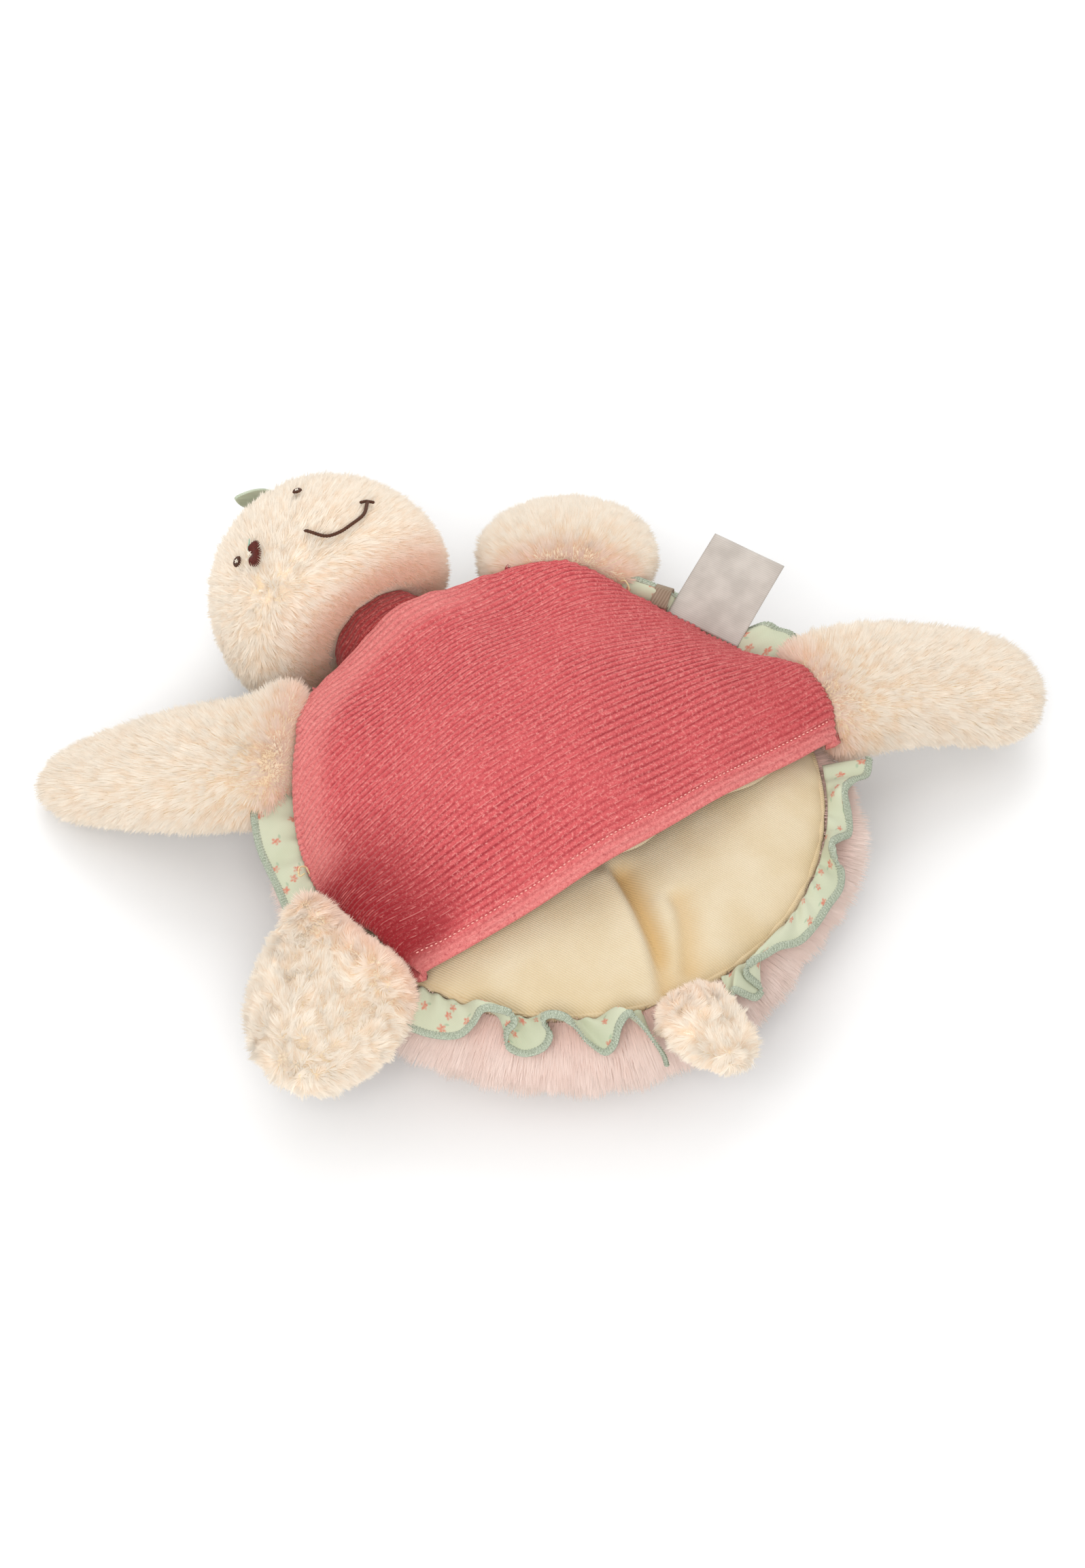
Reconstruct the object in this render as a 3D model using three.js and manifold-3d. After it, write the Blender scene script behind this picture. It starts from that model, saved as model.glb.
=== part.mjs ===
// Turtle hand puppet, lying on its shell with the belly up. Millimetres, +Z up, head towards +Y.
// The origin is the centre of the flat patch of shell that the puppet rests on.
// Angles round the body are degrees from the head end (+Y) towards the puppet's +X side.
import * as THREE from 'three';
import { mergeVertices } from 'three/addons/utils/BufferGeometryUtils.js';
import Module from 'manifold-3d';

const wasm = await Module();
wasm.setup();

// Fit
const seatGap = 0.3;            // air between two pieces that lie on each other
const jointGap = 0.4;           // air round a root that turns in its socket

// Fabrics
const plushThickness = 2.6;     // pile fabric of shell, head, limbs and tail
const corduroyThickness = 2.4;  // belly panel
const liningThickness = 1.2;    // pocket linings
const hemThickness = 4.4;       // corduroy turned under at the pocket mouth
const hemWidth = 7;
const frillThickness = 1.0;

// Shell
const seamRadius = 103;         // where shell, frill and belly are sewn together
const seamHeight = 50;
const bulgeReach = 10.5;        // the shell's widest line lies this far outside the seam
const bulgeRadius = seamRadius + bulgeReach;
const bulgeHeight = 24;
const shoulderReach = 25;       // how far the curve above the bulge would come in at its top
const restRadius = 77;          // flat patch on the floor
const crownShares = [1, 0.93, 0.8, 0.6, 0.35];  // rings of the stuffed top, from the seam inwards
const shellSegments = 40;
const shellSteps = 4;           // facets from the floor to the bulge, and from there to the seam

// Pocket lining and belly
const liningRise = 11;          // crown of the stuffed back lining over the seam
const bellyRise = 42;           // crown of the belly over its edge
const hemRise = 28;             // the same near the pocket mouth
const bellyFullness = 2.4;      // higher is flatter on top and steeper at the edge
const limbLift = 17;            // how far a limb lifts the belly's edge
const limbLiftSpread = 15;      // degrees
const neckLift = 14;
const bellyCornerAngle = 112;   // where the hem's two ends are sewn into the seam
const cornerInset = 2.5;        // from the seam to the hem's ends
const mouthSag = 14;            // how far the middle of the hem bows to the tail
const fullRiseY = 10;           // the belly has its full rise ahead of this line
const liningSetback = 4.2;      // the belly's lining starts this far inside the hem
const bellyColumns = 32;
const bellyRows = [0.16, 0.28, 0.42, 0.56, 0.7, 0.82, 0.92, 1];

// Head and neck
const headRadius = 47.5;
const headReach = 36.5;           // from the seam to the head's centre
const headSide = -11.5;
const headCentre = new THREE.Vector3(headSide, seamRadius + headReach, headRadius + 0.5);
const neckRadius = 24;
const neckReach = 4;
const neckSide = -4;
const neckDrop = 7;             // the neck's centre lies this far below the seam
const neckCentre = new THREE.Vector3(neckSide, seamRadius + neckReach, seamHeight - neckDrop);
const pressedReach = 6;
const shellFrontCut = seamRadius + pressedReach;  // the shell is pressed flat here by the head
const collarShow = 7;           // collar in view between shell and head
const collarReach = 18;         // from the neck's centre to the collar's end inside the head
const headSides = 26;
const neckSides = 24;

// Limbs: a limb turns about a level line in the seam, and its root is round about that line
const limbPivotReach = 12.5;                    // from the seam out to that line
const limbSides = 14;
const rootDepths = [0.68, 0.35];                // rings of the round root, as shares of its depth
const limbStations = [0, 0.14, 0.3, 0.48, 0.66];
const middleStation = 0.42;                     // where a limb has its middle size
const tipStation = 0.85;                        // and its size before the round tip
const rootRun = 0.4;                            // share of the length that leads out of the seam
const tipLengthening = 1.5;                     // the tip's length over its half thickness
const limbs = [
  { name: 'front_left_flipper', rootAngle: -43, heading: -39, droop: 26, length: 106,
    halfWidths: [28, 29, 19], halfThicknesses: [19, 16, 11] },
  { name: 'front_right_flipper', rootAngle: 37, heading: 34, droop: 36, length: 78,
    halfWidths: [30, 34, 22], halfThicknesses: [19, 16.5, 11] },
  { name: 'hind_left_leg', rootAngle: -99, heading: -128, droop: 6, length: 59,
    halfWidths: [32, 32, 27], halfThicknesses: [19, 20, 17] },
  { name: 'hind_right_leg', rootAngle: 98, heading: 111, droop: 21, length: 96,
    halfWidths: [29, 27, 26], halfThicknesses: [19, 18, 15] },
];
const tail = { name: 'tail', rootAngle: -170, heading: -187, droop: 7, length: 38,
  halfWidths: [15, 15, 11], halfThicknesses: [10, 10, 7] };
const tailPivotReach = 7;
const tailPivotRise = 5;

// Frill
const frillWidth = 18;
const frillHeight = seamHeight + 1;
const frillDroop = 1.5;
const frillWave = 4.2;          // height of its waves at the outer edge
const frillWaveLength = 23;
const waveFacets = 7;
const edgeRadius = 0.9;         // overlocked edge
const frillClearance = 1.5;     // degrees between frill and limb

// Trim
const labelWidth = 31;
const labelLength = 36.5;
const labelThickness = 0.5;
const labelAngle = 68.5;
const labelTilt = 21;
const ribbonAngle = 57.5;
const ribbonWidth = 7;
const ribbonLength = 9;
const ribbonThickness = 0.8;
const ribbonTilt = 25;
const loopRadius = 2.4;
const neckOfLoop = 0.6;         // the ribbon's ends are this much closer together than its loop

// Face
const threadRadius = 0.55;
const stemRadius = 0.38;
const threadLift = 0.45;        // embroidery lies this far off the ground of the pile
const threadRise = 0.8;         // height of satin stitch
const eyeRadius = 2.5;
const petals = 5;
const petalReach = 3.4;
const petalRoot = 1.6;
const leafHalfWidth = 6;
const leafThickness = 1.2;
const leafSink = 1.5;           // the leaf's point starts this deep and is cut off at the pile

const rad = THREE.MathUtils.degToRad;
const outward = (angle) => new THREE.Vector3(Math.sin(rad(angle)), Math.cos(rad(angle)), 0);
const along = (angle) => new THREE.Vector3(Math.cos(rad(angle)), -Math.sin(rad(angle)), 0);
const level = new THREE.Vector3(0, 0, 1);

const puppet = new THREE.Group();

function fabric(colour, roughness = 0.95) {
  return new THREE.MeshStandardMaterial({ color: colour, roughness, metalness: 0 });
}
const materials = {
  cream: fabric('#EBDCC5'),
  shell: fabric('#E5C9BB'),
  corduroy: fabric('#D4605F'),
  lining: fabric('#E6D8BD'),
  frill: fabric('#CFCDB0'),
  overlock: fabric('#A3AC93'),
  filling: fabric('#F3F1EC'),
  brownThread: fabric('#3A1A10', 0.7),
  redThread: fabric('#7A2214', 0.7),
  greenThread: fabric('#9CC4AE', 0.7),
  leaf: fabric('#B5B99F', 0.6),
  label: fabric('#DAD5CC', 0.5),
  ribbon: fabric('#9C8A78', 0.8),
};

function add(name, geometry, material) {
  const mesh = new THREE.Mesh(geometry, material);
  mesh.name = name;
  puppet.add(mesh);
}

// Solids and booleans

function merged(geometry) {
  const plain = geometry.index ? geometry.toNonIndexed() : geometry.clone();
  plain.deleteAttribute('normal');
  plain.deleteAttribute('uv');
  return mergeVertices(plain, 1e-4);
}

function volumeOf(positions, triangles) {
  const [a, b, c] = [new THREE.Vector3(), new THREE.Vector3(), new THREE.Vector3()];
  let six = 0;
  for (let i = 0; i < triangles.length; i += 3) {
    a.fromArray(positions, 3 * triangles[i]);
    b.fromArray(positions, 3 * triangles[i + 1]);
    c.fromArray(positions, 3 * triangles[i + 2]);
    six += a.dot(b.cross(c));
  }
  return six / 6;
}

function toSolid(geometry) {
  const clean = merged(geometry);
  const vertProperties = new Float32Array(clean.attributes.position.array);
  const triVerts = new Uint32Array(clean.index.array);
  if (volumeOf(vertProperties, triVerts) < 0) {
    for (let i = 0; i < triVerts.length; i += 3) {
      [triVerts[i], triVerts[i + 1]] = [triVerts[i + 1], triVerts[i]];
    }
  }
  return new wasm.Manifold(new wasm.Mesh({ numProp: 3, vertProperties, triVerts }));
}

function toGeometry(solid) {
  const mesh = solid.getMesh();
  const geometry = new THREE.BufferGeometry();
  geometry.setAttribute('position', new THREE.Float32BufferAttribute(mesh.vertProperties, 3));
  geometry.setIndex(Array.from(mesh.triVerts));
  return geometry;
}

function cut(solid, cutters) {
  return cutters.reduce((rest, cutter) => rest.subtract(cutter), solid);
}

function ball(centre, radius, across) {
  const geometry = new THREE.SphereGeometry(radius, across, Math.round(across * 0.6));
  return toSolid(geometry.rotateX(Math.PI / 2).translate(centre.x, centre.y, centre.z));
}

function block(low, high) {
  const size = new THREE.Vector3().subVectors(high, low);
  const middle = new THREE.Vector3().addVectors(low, high).multiplyScalar(0.5);
  const geometry = new THREE.BoxGeometry(size.x, size.y, size.z);
  return toSolid(geometry.translate(middle.x, middle.y, middle.z));
}

// Everything behind the level line y = front, for parts that are pressed flat against each other
function behind(front) {
  const reach = 4 * seamRadius;
  return block(new THREE.Vector3(-reach, -reach, -reach), new THREE.Vector3(reach, front, reach));
}

function ahead(front) {
  const reach = 4 * seamRadius;
  return block(new THREE.Vector3(-reach, front, -reach), new THREE.Vector3(reach, reach, reach));
}

// A closed skin over rows of points, each row a ring, between a first and a last point
function loft(first, rings, last) {
  const count = rings[0].length;
  const points = [first, ...rings.flat(), last];
  const index = [];
  const at = (row, i) => 1 + row * count + (i % count);
  for (let i = 0; i < count; i += 1) {
    index.push(0, at(0, i + 1), at(0, i));
    index.push(points.length - 1, at(rings.length - 1, i), at(rings.length - 1, i + 1));
    for (let row = 0; row + 1 < rings.length; row += 1) {
      index.push(at(row, i), at(row, i + 1), at(row + 1, i + 1));
      index.push(at(row, i), at(row + 1, i + 1), at(row + 1, i));
    }
  }
  return new THREE.BufferGeometry().setFromPoints(points).setIndex(index);
}

// A closed slab of cloth between a top and an underside, both given over a grid
function slab(columns, rows, top, under) {
  const points = [];
  for (const surface of [top, under]) {
    for (let j = 0; j <= rows; j += 1) {
      for (let i = 0; i <= columns; i += 1) points.push(surface(i / columns, j / rows));
    }
  }
  const layer = (columns + 1) * (rows + 1);
  const at = (side, i, j) => side * layer + j * (columns + 1) + i;
  const index = [];
  const face = (a, b, c, d) => index.push(a, b, c, a, c, d);
  for (let j = 0; j < rows; j += 1) {
    for (let i = 0; i < columns; i += 1) {
      face(at(0, i, j), at(0, i + 1, j), at(0, i + 1, j + 1), at(0, i, j + 1));
      face(at(1, i, j), at(1, i, j + 1), at(1, i + 1, j + 1), at(1, i + 1, j));
    }
    face(at(0, 0, j), at(0, 0, j + 1), at(1, 0, j + 1), at(1, 0, j));
    face(at(0, columns, j + 1), at(0, columns, j), at(1, columns, j), at(1, columns, j + 1));
  }
  for (let i = 0; i < columns; i += 1) {
    face(at(0, i + 1, 0), at(0, i, 0), at(1, i, 0), at(1, i + 1, 0));
    face(at(0, i, rows), at(0, i + 1, rows), at(1, i + 1, rows), at(1, i, rows));
  }
  return new THREE.BufferGeometry().setFromPoints(points).setIndex(index);
}

// A round tube along a curve
function tube(curve, radius, steps, sides = 6) {
  const section = new THREE.Shape();
  for (let i = 0; i < sides; i += 1) {
    const turn = (2 * Math.PI * i) / sides;
    const move = i === 0 ? 'moveTo' : 'lineTo';
    section[move](radius * Math.cos(turn), radius * Math.sin(turn));
  }
  section.closePath();
  return new THREE.ExtrudeGeometry(section, { steps, extrudePath: curve, bevelEnabled: false });
}

// Limbs and tail

// A value that passes through its root, middle and tip sizes along the limb
function swell([root, middle, tip], t) {
  const [a, b] = [middleStation, tipStation];
  const rootShare = ((t - a) * (t - b)) / (a * b);
  const middleShare = (t * (t - b)) / (a * (a - b));
  const tipShare = (t * (t - a)) / (b * (b - a));
  return root * rootShare + middle * middleShare + tip * tipShare;
}

function limbPivot(limb) {
  const [reach, rise] = limb === tail ? [tailPivotReach, tailPivotRise] : [limbPivotReach, 0];
  return outward(limb.rootAngle).multiplyScalar(seamRadius + reach).setZ(seamHeight + rise);
}

function limbSpine(limb) {
  const pivot = limbPivot(limb);
  const droop = rad(limb.droop);
  const run = limb.length * rootRun;
  const start = outward(limb.rootAngle).multiplyScalar(run).setZ(-run * Math.sin(droop * tipStation));
  const reach = outward(limb.heading).multiplyScalar(limb.length * Math.cos(droop));
  reach.z = -limb.length * Math.sin(droop);
  return new THREE.QuadraticBezierCurve3(pivot, pivot.clone().add(start), pivot.clone().add(reach));
}

// Rings of a limb, all sizes drawn in by inset, from the root's round end to the tip
function limbRings(limb, inset, depths) {
  const spine = limbSpine(limb);
  const [width, thickness] = [limb.halfWidths[0] - inset, limb.halfThicknesses[0] - inset];
  const rings = [];
  const ring = (centre, side, up, halfWidth, halfThickness) => {
    const points = [];
    for (let i = 0; i < limbSides; i += 1) {
      const turn = (2 * Math.PI * (i + 0.5)) / limbSides;
      points.push(centre.clone()
        .addScaledVector(side, halfWidth * Math.cos(turn))
        .addScaledVector(up, halfThickness * Math.sin(turn)));
    }
    rings.push(points);
  };
  const rootOut = outward(limb.rootAngle);
  const rootSide = along(limb.rootAngle);
  for (const depth of depths) {
    const share = Math.sqrt(1 - depth * depth);
    const centre = spine.v0.clone().addScaledVector(rootOut, -depth * thickness);
    ring(centre, rootSide, level, width * share, thickness * share);
  }
  const tipSpan = (tipLengthening * limb.halfThicknesses[2]) / limb.length;
  const tipStart = 1 - tipSpan;
  const stations = limbStations.filter((t) => t < tipStart - 0.05).map((t) => [t, 1]);
  for (const turn of [0, 30, 55, 75]) {
    const share = Math.sin(rad(turn));
    stations.push([tipStart + (tipSpan - inset / limb.length) * share, Math.cos(rad(turn))]);
  }
  for (const [t, round] of stations) {
    const heading = spine.getTangent(t);
    const side = new THREE.Vector3().crossVectors(heading, level).normalize();
    const up = new THREE.Vector3().crossVectors(side, heading);
    const rootShare = 1 - Math.min(1, t / 0.3);
    side.lerp(rootSide, rootShare).normalize();
    up.lerp(level, rootShare).normalize();
    ring(spine.getPoint(t), side, up,
      (swell(limb.halfWidths, t) - inset) * round,
      (swell(limb.halfThicknesses, t) - inset) * round);
  }
  return { rings, tip: spine.getPoint(1 - inset / limb.length) };
}

// The cover is a bag, open where its root is sewn into the seam
function limbCover(limb) {
  const outer = limbRings(limb, 0, rootDepths);
  const inner = limbRings(limb, plushThickness, rootDepths);
  return loft(outer.tip, [...outer.rings.slice().reverse(), ...inner.rings], inner.tip);
}

function limbFilling(limb) {
  const { rings, tip } = limbRings(limb, plushThickness + seatGap, [0.94, ...rootDepths]);
  const depth = limb.halfThicknesses[0] - plushThickness - seatGap;
  const end = limbPivot(limb).addScaledVector(outward(limb.rootAngle), -depth);
  return loft(end, rings, tip);
}

// The hollow that a limb's root turns in
function limbSocket(limb) {
  const half = [limb.halfWidths[0], limb.halfThicknesses[0], limb.halfThicknesses[0]];
  const [x, y, z] = half.map((size) => size + jointGap);
  const basis = new THREE.Matrix4()
    .makeBasis(along(limb.rootAngle), outward(limb.rootAngle), level)
    .setPosition(limbPivot(limb));
  const geometry = new THREE.SphereGeometry(1, 24, 14).scale(x, y, z).applyMatrix4(basis);
  return toSolid(geometry);
}

const sockets = [...limbs, tail].map(limbSocket);

// Shell

// The shell's outline from its flat patch to the seam, drawn in by inset
function shellProfile(inset) {
  const low = [bulgeRadius - restRadius, bulgeHeight];
  const shoulderRadius = bulgeRadius - shoulderReach;
  const seamShare = (seamRadius - shoulderRadius) / shoulderReach;
  const high = [shoulderReach, (seamHeight - bulgeHeight) / Math.sqrt(1 - seamShare * seamShare)];
  const points = [];
  for (let i = 0; i <= shellSteps; i += 1) {
    const turn = (Math.PI / 2) * (1 - i / shellSteps);
    points.push(new THREE.Vector2(
      restRadius + (low[0] - inset) * Math.cos(turn),
      bulgeHeight - (low[1] - inset) * Math.sin(turn)));
  }
  const last = Math.acos(seamShare);
  for (let i = 1; i <= shellSteps; i += 1) {
    const turn = (last * i) / shellSteps;
    points.push(new THREE.Vector2(
      shoulderRadius + (high[0] - inset) * Math.cos(turn),
      bulgeHeight + high[1] * Math.sin(turn)));
  }
  return points;
}

function revolve(profile) {
  return toSolid(new THREE.LatheGeometry(profile, shellSegments).rotateX(Math.PI / 2));
}

const onAxis = (height) => new THREE.Vector2(0, height);

// A point of the pocket's stuffed back, at a share of the seam's radius, dropped below its top
function crownPoint(share, drop) {
  const height = seamHeight + seatGap + liningThickness + liningRise * (1 - share ** 4);
  return new THREE.Vector2(seamRadius * share, height - drop);
}

function shellCover() {
  const outer = shellProfile(0);
  const inner = shellProfile(plushThickness).reverse();
  const profile = [onAxis(0), ...outer, ...inner, onAxis(plushThickness)];
  const front = ahead(shellFrontCut);
  return cut(revolve(profile), [...sockets, front]);
}

function shellFilling() {
  const inset = plushThickness + seatGap;
  const side = shellProfile(inset);
  const drop = liningThickness + seatGap;
  const crown = crownShares.slice(1).map((share) => crownPoint(share, drop));
  const profile = [onAxis(inset), ...side, ...crown, crownPoint(0, drop)];
  const front = ahead(shellFrontCut - plushThickness - seatGap);
  return cut(revolve(profile), [...sockets, front]);
}

function backLining() {
  const top = [...crownShares, 0].map((share) => crownPoint(share, 0));
  const under = [...crownShares, 0].map((share) => crownPoint(share, liningThickness)).reverse();
  return cut(revolve([...under, ...top]), sockets);
}

// Belly

const mouthCorner = outward(bellyCornerAngle).multiplyScalar(seamRadius - cornerInset);

// Height of the belly's top, lifted where limbs and neck pass under its edge
function bellyTop(x, y) {
  const share = Math.hypot(x, y) / seamRadius;
  const angle = THREE.MathUtils.radToDeg(Math.atan2(x, y));
  const back = THREE.MathUtils.smoothstep(-y, -fullRiseY, mouthSag - mouthCorner.y);
  const rise = THREE.MathUtils.lerp(bellyRise, hemRise, back);
  const bump = (at, lift) => lift * share ** 5 * Math.exp(-(((angle - at) / limbLiftSpread) ** 2));
  const lifts = limbs.map((limb) => bump(limb.rootAngle, limbLift));
  const edge = seamHeight + 3 * seatGap + 2 * liningThickness + corduroyThickness;
  return edge + rise * (1 - share ** bellyFullness)
    + lifts.reduce((sum, lift) => sum + lift, 0) + bump(0, neckLift);
}

// The belly's cloth is laid out in lines from the hem to the seam: across is -1 to 1 between the
// mouth's corners, and forward is 0 at the hem and 1 at the seam
const bellySpan = seamRadius - mouthCorner.y;
const hemShare = hemWidth / bellySpan;
const liningShare = (hemWidth + liningSetback) / bellySpan;

function bellyPoint(across, forward, drop) {
  const hem = new THREE.Vector2(mouthCorner.x * across, mouthCorner.y - mouthSag * (1 - across * across));
  const rim = outward(bellyCornerAngle * across).multiplyScalar(seamRadius);
  const x = THREE.MathUtils.lerp(hem.x, rim.x, forward);
  const y = THREE.MathUtils.lerp(hem.y, rim.y, forward);
  return new THREE.Vector3(x, y, bellyTop(x, y) - drop);
}

// A sheet of belly cloth over the given rows, with its top and its underside dropped by depths
function bellySheet(rows, topDrop, underDrop) {
  const last = rows.length - 1;
  const row = (v) => rows[Math.round(v * last)];
  const top = (u, v) => bellyPoint(2 * u - 1, row(v), topDrop(row(v)));
  const under = (u, v) => bellyPoint(2 * u - 1, row(v), underDrop(row(v)));
  return cut(toSolid(slab(bellyColumns, last, top, under)), sockets);
}

function bellyPanel() {
  const hem = [0, hemShare, hemShare + (liningShare - hemShare) / 3, liningShare];
  const under = (forward) => (forward <= hemShare ? hemThickness : corduroyThickness);
  return bellySheet([...hem, ...bellyRows], () => 0, under);
}

function bellyLining() {
  const drop = corduroyThickness + seatGap;
  return bellySheet([liningShare, ...bellyRows], () => drop, () => drop + liningThickness);
}

// Neck and head

const headBack = shellFrontCut + collarShow;

function neckCollar() {
  const outside = ball(neckCentre, neckRadius, neckSides);
  const inside = ball(neckCentre, neckRadius - corduroyThickness, neckSides);
  return cut(outside, [inside, behind(shellFrontCut + seatGap), ahead(neckCentre.y + collarReach)]);
}

function neckFilling() {
  const stuffing = ball(neckCentre, neckRadius - corduroyThickness - seatGap, neckSides);
  return cut(stuffing, [behind(shellFrontCut + seatGap)]);
}

function headCover() {
  const outside = cut(ball(headCentre, headRadius, headSides), [behind(headBack)]);
  const inside = cut(ball(headCentre, headRadius - plushThickness, headSides), [behind(headBack + plushThickness)]);
  return cut(outside, [inside, ball(neckCentre, neckRadius + jointGap, neckSides)]);
}

function headFilling() {
  const inset = plushThickness + seatGap;
  const stuffing = ball(headCentre, headRadius - inset, headSides);
  return cut(stuffing, [behind(headBack + inset), ball(neckCentre, neckRadius + jointGap, neckSides)]);
}

// A point on the head, in a direction given from its centre, lifted off the pile
function onHead(direction, lift) {
  return direction.clone().setLength(headRadius + lift).add(headCentre);
}

// Places flat work made in the XY plane on the head, with its Y axis towards the crown
function placeOnHead(geometry, direction, lift, turn = 0) {
  const out = direction.clone().normalize();
  const crown = new THREE.Vector3(0, 1, 0).addScaledVector(out, -out.y).normalize();
  const side = new THREE.Vector3().crossVectors(crown, out);
  const basis = new THREE.Matrix4().makeBasis(side, crown, out).setPosition(onHead(direction, lift));
  return geometry.rotateZ(rad(turn)).applyMatrix4(basis);
}

const leftEye = new THREE.Vector3(-31.5, 16, 32);
const rightEye = new THREE.Vector3(1.4, 22.6, 40.6);
const flowerSpot = new THREE.Vector3(-27, 12.5, 36);
const smile = [
  new THREE.Vector3(-8.6, 3.9, 45.5), new THREE.Vector3(-4.5, -2.6, 46.2),
  new THREE.Vector3(2, -5, 46.2), new THREE.Vector3(9, -4, 45.2),
  new THREE.Vector3(16, -1.6, 43.4), new THREE.Vector3(21.5, 3, 41),
];
const leafRoot = new THREE.Vector3(8, 44, 5);
const leafTip = new THREE.Vector3(-9, 51.5, 17);

function embroideredEye(direction) {
  const profile = [onAxis(0), new THREE.Vector2(eyeRadius, 0), new THREE.Vector2(eyeRadius, threadRise * 0.4),
    new THREE.Vector2(eyeRadius * 0.6, threadRise), onAxis(threadRise * 1.2)];
  const dome = new THREE.LatheGeometry(profile, 14).rotateX(Math.PI / 2);
  return placeOnHead(dome, direction, threadLift);
}

// A small blossom of five round petals beside the eye
function embroideredFlower() {
  const outline = new THREE.Shape();
  const count = petals * 6;
  for (let i = 0; i < count; i += 1) {
    const turn = (2 * Math.PI * i) / count;
    const bulge = Math.abs(Math.sin((petals * turn) / 2)) ** 0.6;
    const radius = THREE.MathUtils.lerp(petalRoot, petalReach, bulge);
    outline[i === 0 ? 'moveTo' : 'lineTo'](radius * Math.cos(turn), radius * Math.sin(turn));
  }
  outline.closePath();
  const flower = new THREE.ExtrudeGeometry(outline, { depth: threadRise, bevelEnabled: false });
  return placeOnHead(flower, flowerSpot, threadLift, 20);
}

function flowerStem() {
  const from = flowerSpot.clone().add(new THREE.Vector3(-2.6, 4.4, 0));
  const to = from.clone().add(new THREE.Vector3(-1.6, 5.2, -3.5));
  const middle = from.clone().lerp(to, 0.5).add(new THREE.Vector3(1, 0, 0));
  const path = new THREE.CatmullRomCurve3([from, middle, to].map((p) => onHead(p, threadRadius + threadLift)));
  return tube(path, stemRadius, 6, 5);
}

function embroideredSmile() {
  const path = new THREE.CatmullRomCurve3(smile.map((p) => onHead(p, threadRadius + threadLift)));
  return tube(path, threadRadius, 20, 6);
}

function headLeaf() {
  const span = new THREE.Vector3().subVectors(leafTip, leafRoot);
  const length = span.length();
  const bow = leafHalfWidth * 1.25;
  const outline = new THREE.Shape();
  outline.moveTo(0, 0);
  outline.bezierCurveTo(length * 0.2, bow, length * 0.65, bow, length, 0);
  outline.bezierCurveTo(length * 0.65, -bow, length * 0.2, -bow, 0, 0);
  const leaf = new THREE.ExtrudeGeometry(outline,
    { depth: leafThickness, bevelEnabled: false, curveSegments: 8 });
  const out = leafRoot.clone().normalize();
  const lengthwise = span.normalize();
  const side = new THREE.Vector3().crossVectors(out, lengthwise).normalize();
  const face = new THREE.Vector3().crossVectors(lengthwise, side);
  const basis = new THREE.Matrix4().makeBasis(lengthwise, side, face);
  leaf.applyMatrix4(basis.setPosition(onHead(leafRoot, -leafSink)));
  return cut(toSolid(leaf), [ball(headCentre, headRadius + seatGap, headSides)]);
}

// Frill: four strips between the limbs and the tail, each with an overlocked edge

const halfAngle = (limb) => THREE.MathUtils.radToDeg(Math.asin(limb.halfWidths[0] / seamRadius)) + frillClearance;
const [frontLeft, frontRight, hindLeft, hindRight] = limbs;
const turnBack = (angle) => (angle < 0 ? angle + 360 : angle);
const between = (name, before, after) => {
  const from = turnBack(before.rootAngle) + halfAngle(before);
  const to = turnBack(after.rootAngle) - halfAngle(after);
  return { name, from, to };
};
const frills = [
  between('frill_left', hindLeft, frontLeft),
  between('frill_right', frontRight, hindRight),
  between('frill_rear_left', tail, hindLeft),
  between('frill_rear_right', hindRight, tail),
];

function frillWaves(frill) {
  const arc = rad(frill.to - frill.from) * (seamRadius + frillWidth);
  return Math.max(1, Math.round(arc / frillWaveLength));
}

// Along is 0 to 1 round the body, and out is 0 at the seam and 1 at the edge
function frillPoint(frill, share, out, lift) {
  const angle = frill.from + (frill.to - frill.from) * share;
  const phase = 2 * Math.PI * frillWaves(frill) * share;
  const radius = seamRadius + seatGap + frillWidth * out;
  const height = frillHeight - frillDroop * out + frillWave * out ** 1.3 * Math.sin(phase) + lift;
  return outward(angle).multiplyScalar(radius).setZ(height);
}

function frillStrip(frill) {
  const columns = frillWaves(frill) * waveFacets;
  const half = frillThickness / 2;
  return slab(columns, 2, (u, v) => frillPoint(frill, u, v, half), (u, v) => frillPoint(frill, u, v, -half));
}

function frillEdge(frill) {
  const steps = frillWaves(frill) * waveFacets;
  const reach = 1 + (seatGap + edgeRadius) / frillWidth;
  const points = [];
  for (let i = 0; i <= steps; i += 1) points.push(frillPoint(frill, i / steps, reach, 0));
  return tube(new THREE.CatmullRomCurve3(points), edgeRadius, steps, 4);
}

// Label and ribbon, sewn into the seam between two limbs

// A frame at the seam with its Y axis outward, tilted up, for trim of a given half thickness
function trimFrame(angle, halfThickness, tilt) {
  const tilted = outward(angle).multiplyScalar(Math.cos(rad(tilt))).setZ(Math.sin(rad(tilt)));
  const side = along(angle);
  const face = new THREE.Vector3().crossVectors(side, tilted);
  const radius = seamRadius + seatGap + halfThickness * Math.sin(rad(tilt));
  const height = frillHeight + frillThickness / 2 + seatGap + halfThickness;
  const seat = outward(angle).multiplyScalar(radius).setZ(height);
  return new THREE.Matrix4().makeBasis(side, tilted, face).setPosition(seat);
}

function careLabel() {
  const geometry = new THREE.BoxGeometry(labelWidth, labelLength, labelThickness);
  geometry.translate(0, labelLength / 2, 0);
  return geometry.applyMatrix4(trimFrame(labelAngle, labelThickness / 2, labelTilt));
}

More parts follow.
